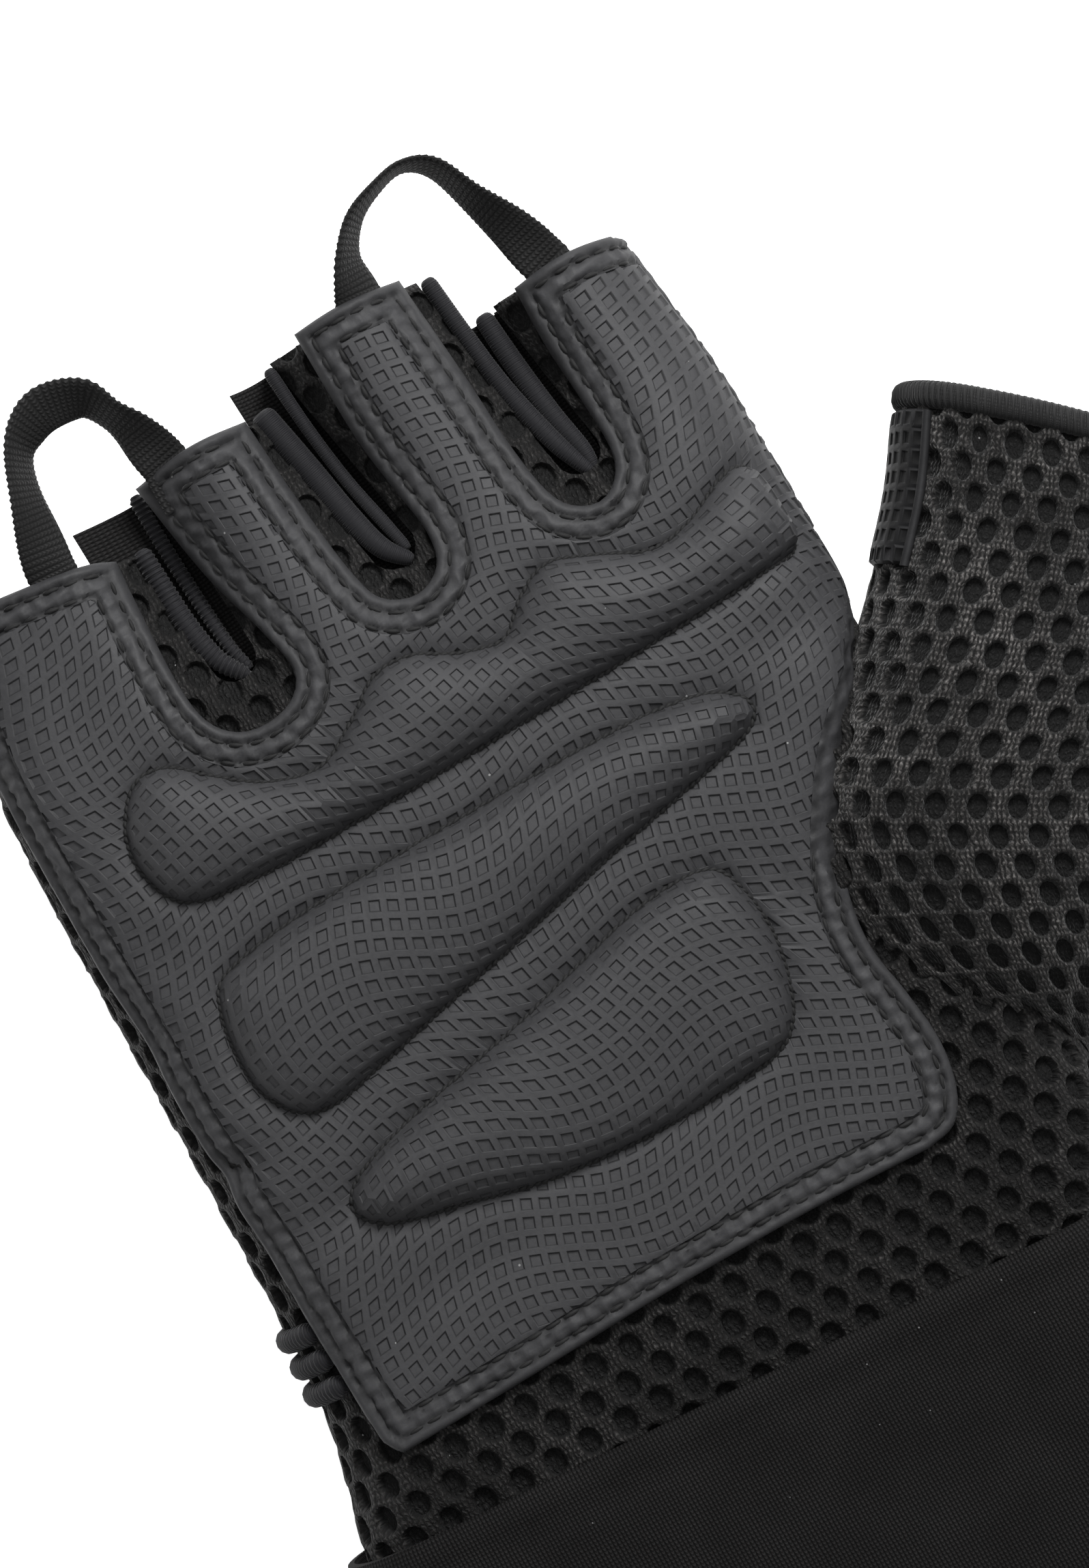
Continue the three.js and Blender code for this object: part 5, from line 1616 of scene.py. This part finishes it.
def wrap_line():
    """The middle of the wrap's wall, from its inner end to its outer end, as x and z."""
    line = [WRAP_INNER]
    for low, side in ((WRAP_INNER[1], 1), (WRAP_OUTER[1], -1)):
        x = WRIST_MIDDLE + side * WRIST_FLAT
        height = (WRAP_TOP_Z - low) / 2
        for angle in np.radians(side * np.linspace(-90, 90, 25)):
            line.append((x + side * WRAP_REACH * math.cos(angle), low + height + height * math.sin(angle)))
    line.append(WRAP_OUTER)
    return np.array(line)


wrap_middle = wrap_line()
wrap_way = line_lengths(wrap_middle)
WRAP_LENGTH = wrap_way[-1]


def lay_wrap(s, v, h):
    """Places a point of the wrap: s along the strip, v down from its upper edge, h out of its face."""
    x, z = along_line(s, wrap_way, wrap_middle).T
    way = unit(along_line(s + 0.6, wrap_way, wrap_middle) - along_line(s - 0.6, wrap_way, wrap_middle))
    edge_y = WRAP_TOP_Y + (x - WRIST_MIDDLE) * math.tan(WRAP_SLANT)
    return np.column_stack([x + way[:, 1] * h, edge_y - v, z - way[:, 0] * h])


# %% Sew the wrap
WRAP_CELL = 1.6
WRAP_CORNER = 12.0
WRAP_HEM = 5.0
wrap = sheet_between("wrap_knit", (0.0, 0.0), (WRAP_LENGTH, WRAP_HEIGHT), WRAP_CELL)
wrap_plan = read_vertices(wrap)
corner_x = np.clip(wrap_plan[:, 0] - (WRAP_LENGTH - WRAP_CORNER), 0, WRAP_CORNER)
pinch = WRAP_CORNER - np.sqrt(np.clip(WRAP_CORNER**2 - corner_x**2, 0, None))
share = (WRAP_HEIGHT - 2 * pinch) / WRAP_HEIGHT
wrap_plan[:, 1] = WRAP_HEIGHT / 2 + (wrap_plan[:, 1] - WRAP_HEIGHT / 2) * share
write_vertices(wrap, wrap_plan)
thicken(wrap, WRAP_WALL, offset=0.0)
wrap_flat = read_vertices(wrap)
keep_flat_places(wrap)
wrap_edge = np.minimum(wrap_flat[:, 1], WRAP_HEIGHT - wrap_flat[:, 1])
wrap_round = quarter_round(wrap_edge, 1.2)
wrap_seam = 1 - 0.35 * np.exp(-((wrap_edge - WRAP_HEM) / 0.5) ** 2)
height = wrap_flat[:, 2] * (0.45 + 0.55 * wrap_round) * wrap_seam
write_vertices(wrap, lay_wrap(wrap_flat[:, 0], wrap_flat[:, 1], height))
turn_outwards(wrap)
round_shading(wrap, 60)
dress(wrap, ["wrist_wrap"], "wrap")

# %% Hook-and-loop patch under the wrap's outer end
low, high = (np.array(corner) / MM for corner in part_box("wrap_fastener"))
bpy.ops.object.select_all(action="DESELECT")
bpy.ops.mesh.primitive_cube_add(size=1.0)
fastener = bpy.context.object
fastener.name = "wrap_fastener_patch"
write_vertices(fastener, read_vertices(fastener) * MM * (high - low) + (low + high) / 2)
bpy.ops.object.mode_set(mode="EDIT")
bpy.ops.mesh.select_all(action="DESELECT")
bpy.ops.mesh.select_mode(type="EDGE")
box = bmesh.from_edit_mesh(fastener.data)
for edge in box.edges:
    upright = abs(edge.verts[0].co.z - edge.verts[1].co.z)
    edge.select = upright > 0.5 * MM
bmesh.update_edit_mesh(fastener.data)
bpy.ops.mesh.bevel(offset=4.0 * MM, segments=6, affect="EDGES")
bpy.ops.mesh.select_all(action="SELECT")
bpy.ops.mesh.bevel(offset=0.25 * MM, segments=2, affect="EDGES")
bpy.ops.object.mode_set(mode="OBJECT")
round_shading(fastener, 40)
dress(fastener, ["wrap_fastener"], "webbing")

# %% [markdown]
# ## Stitching
# A stitch is a short length of thread that dips into the leather at both ends. One stitch is
# modelled from a small sphere, stretched along its length, and copied along each row.

# %% Model one stitch
STITCH_LENGTH = 2.2
STITCH_THICK = 0.62

bpy.ops.object.select_all(action="DESELECT")
bpy.ops.mesh.primitive_uv_sphere_add(segments=6, ring_count=6, radius=0.5 * MM)
stitch = bpy.context.object
bpy.ops.object.mode_set(mode="EDIT")
bpy.ops.transform.rotate(value=math.pi / 2, orient_axis="Y", center_override=(0, 0, 0))
bpy.ops.object.mode_set(mode="OBJECT")
stitch_points = read_vertices(stitch)
stitch_faces = [tuple(p.vertices) for p in stitch.data.polygons]
stitch_points[:, 0] = np.sign(stitch_points[:, 0]) * (np.abs(stitch_points[:, 0]) * 2) ** 0.75 / 2
stitch_points = stitch_points * (STITCH_LENGTH, STITCH_THICK, STITCH_THICK)
stitch_points[:, 2] -= 0.24 * (stitch_points[:, 0] / (STITCH_LENGTH / 2)) ** 2
bpy.data.objects.remove(stitch)
print("one stitch has", len(stitch_faces), "faces")


def sew(name, places, headings, normals, length=1.0, slant=0.0):
    """Copies the stitch to each place, along its heading and on its surface."""
    points = []
    faces = []
    for i, (p, t, n) in enumerate(zip(places, headings, normals)):
        side = np.cross(n, t)
        t = t * math.cos(slant) + side * math.sin(slant)
        side = np.cross(n, t)
        x, y, z = (stitch_points[:, k:k + 1] for k in range(3))
        points.append(p + x * length * t + y * side + z * n)
        faces += [tuple(v + i * len(stitch_points) for v in f) for f in stitch_faces]
    thread = new_object(name, np.vstack(points), faces)
    round_shading(thread)
    return thread


def row_places(plan, surface, pitch=STITCH_PITCH):
    """Even places along a flat path, with headings and normals on the laid surface."""
    lengths = line_lengths(plan)
    at = np.arange(pitch / 2, lengths[-1] - pitch / 3, pitch)
    flat, ahead, behind = (along_line(at + shift, lengths, plan) for shift in (0.0, 0.8, -0.8))
    headings = unit(surface(ahead) - surface(behind))
    aside = square_to(unit(ahead - behind) * 0.3)
    cross = surface(flat + aside) - surface(flat - aside)
    return surface(flat), headings, unit(np.cross(cross, headings))


def leather_top(plan, lift=0.0):
    """The leather's surface over a flat place."""
    depth = signed_depth(plan, panel_outline)
    height = CLEARANCE + LEATHER + quilting(plan) + rolled_edge(depth) + lift
    return lay(plan[:, 0], plan[:, 1], height)


# %% Rows of stitching along the panel's edges and round the pads
def inset_path(run, distance):
    """A run of the outline moved inwards."""
    curve = run_curve(run, 0.8)
    curve = np.column_stack([unroll(curve[:, 0], curve[:, 1]), curve[:, 1]])
    across = square_to(unit(np.gradient(curve, axis=0)))
    for sign in (1, -1):
        moved = curve + sign * distance * across
        if signed_depth(moved[len(moved) // 2:len(moved) // 2 + 1], panel_outline)[0] > 0:
            break
    keep = (signed_depth(moved, panel_outline) > distance - 0.12) & (covered_share(moved) < 0.15)
    return moved[keep]


# The thread round the pads lies like a rope: short turns that slant across the seam.
ROPE_PITCH = 0.95
ROPE_LENGTH = 0.62
ROPE_SLANT = 0.38

rows = []
for run in (LITTLE_TIP, FIRST_U, RING_TIP, SECOND_U, MIDDLE_TIP, THIRD_U, INDEX_TIP, THUMB_EDGE, HEEL_EDGE):
    for row in STITCH_ROWS:
        path = inset_path(run, row)
        if len(path) > 4:
            rows.append(row_places(path, lambda p: leather_top(p, 0.02)))
panel_thread = sew("panel_stitching", *(np.vstack([r[i] for r in rows]) for i in range(3)))
dress(panel_thread, ["palm_panel"], "thread")
for name, outline in PADS.items():
    closed = np.vstack([outline, outline[:1]])
    rope = row_places(closed, lambda p: leather_top(p, 0.12), ROPE_PITCH)
    thread = sew(name + "_stitching", *rope, length=ROPE_LENGTH, slant=ROPE_SLANT)
    dress(thread, [name], "thread")
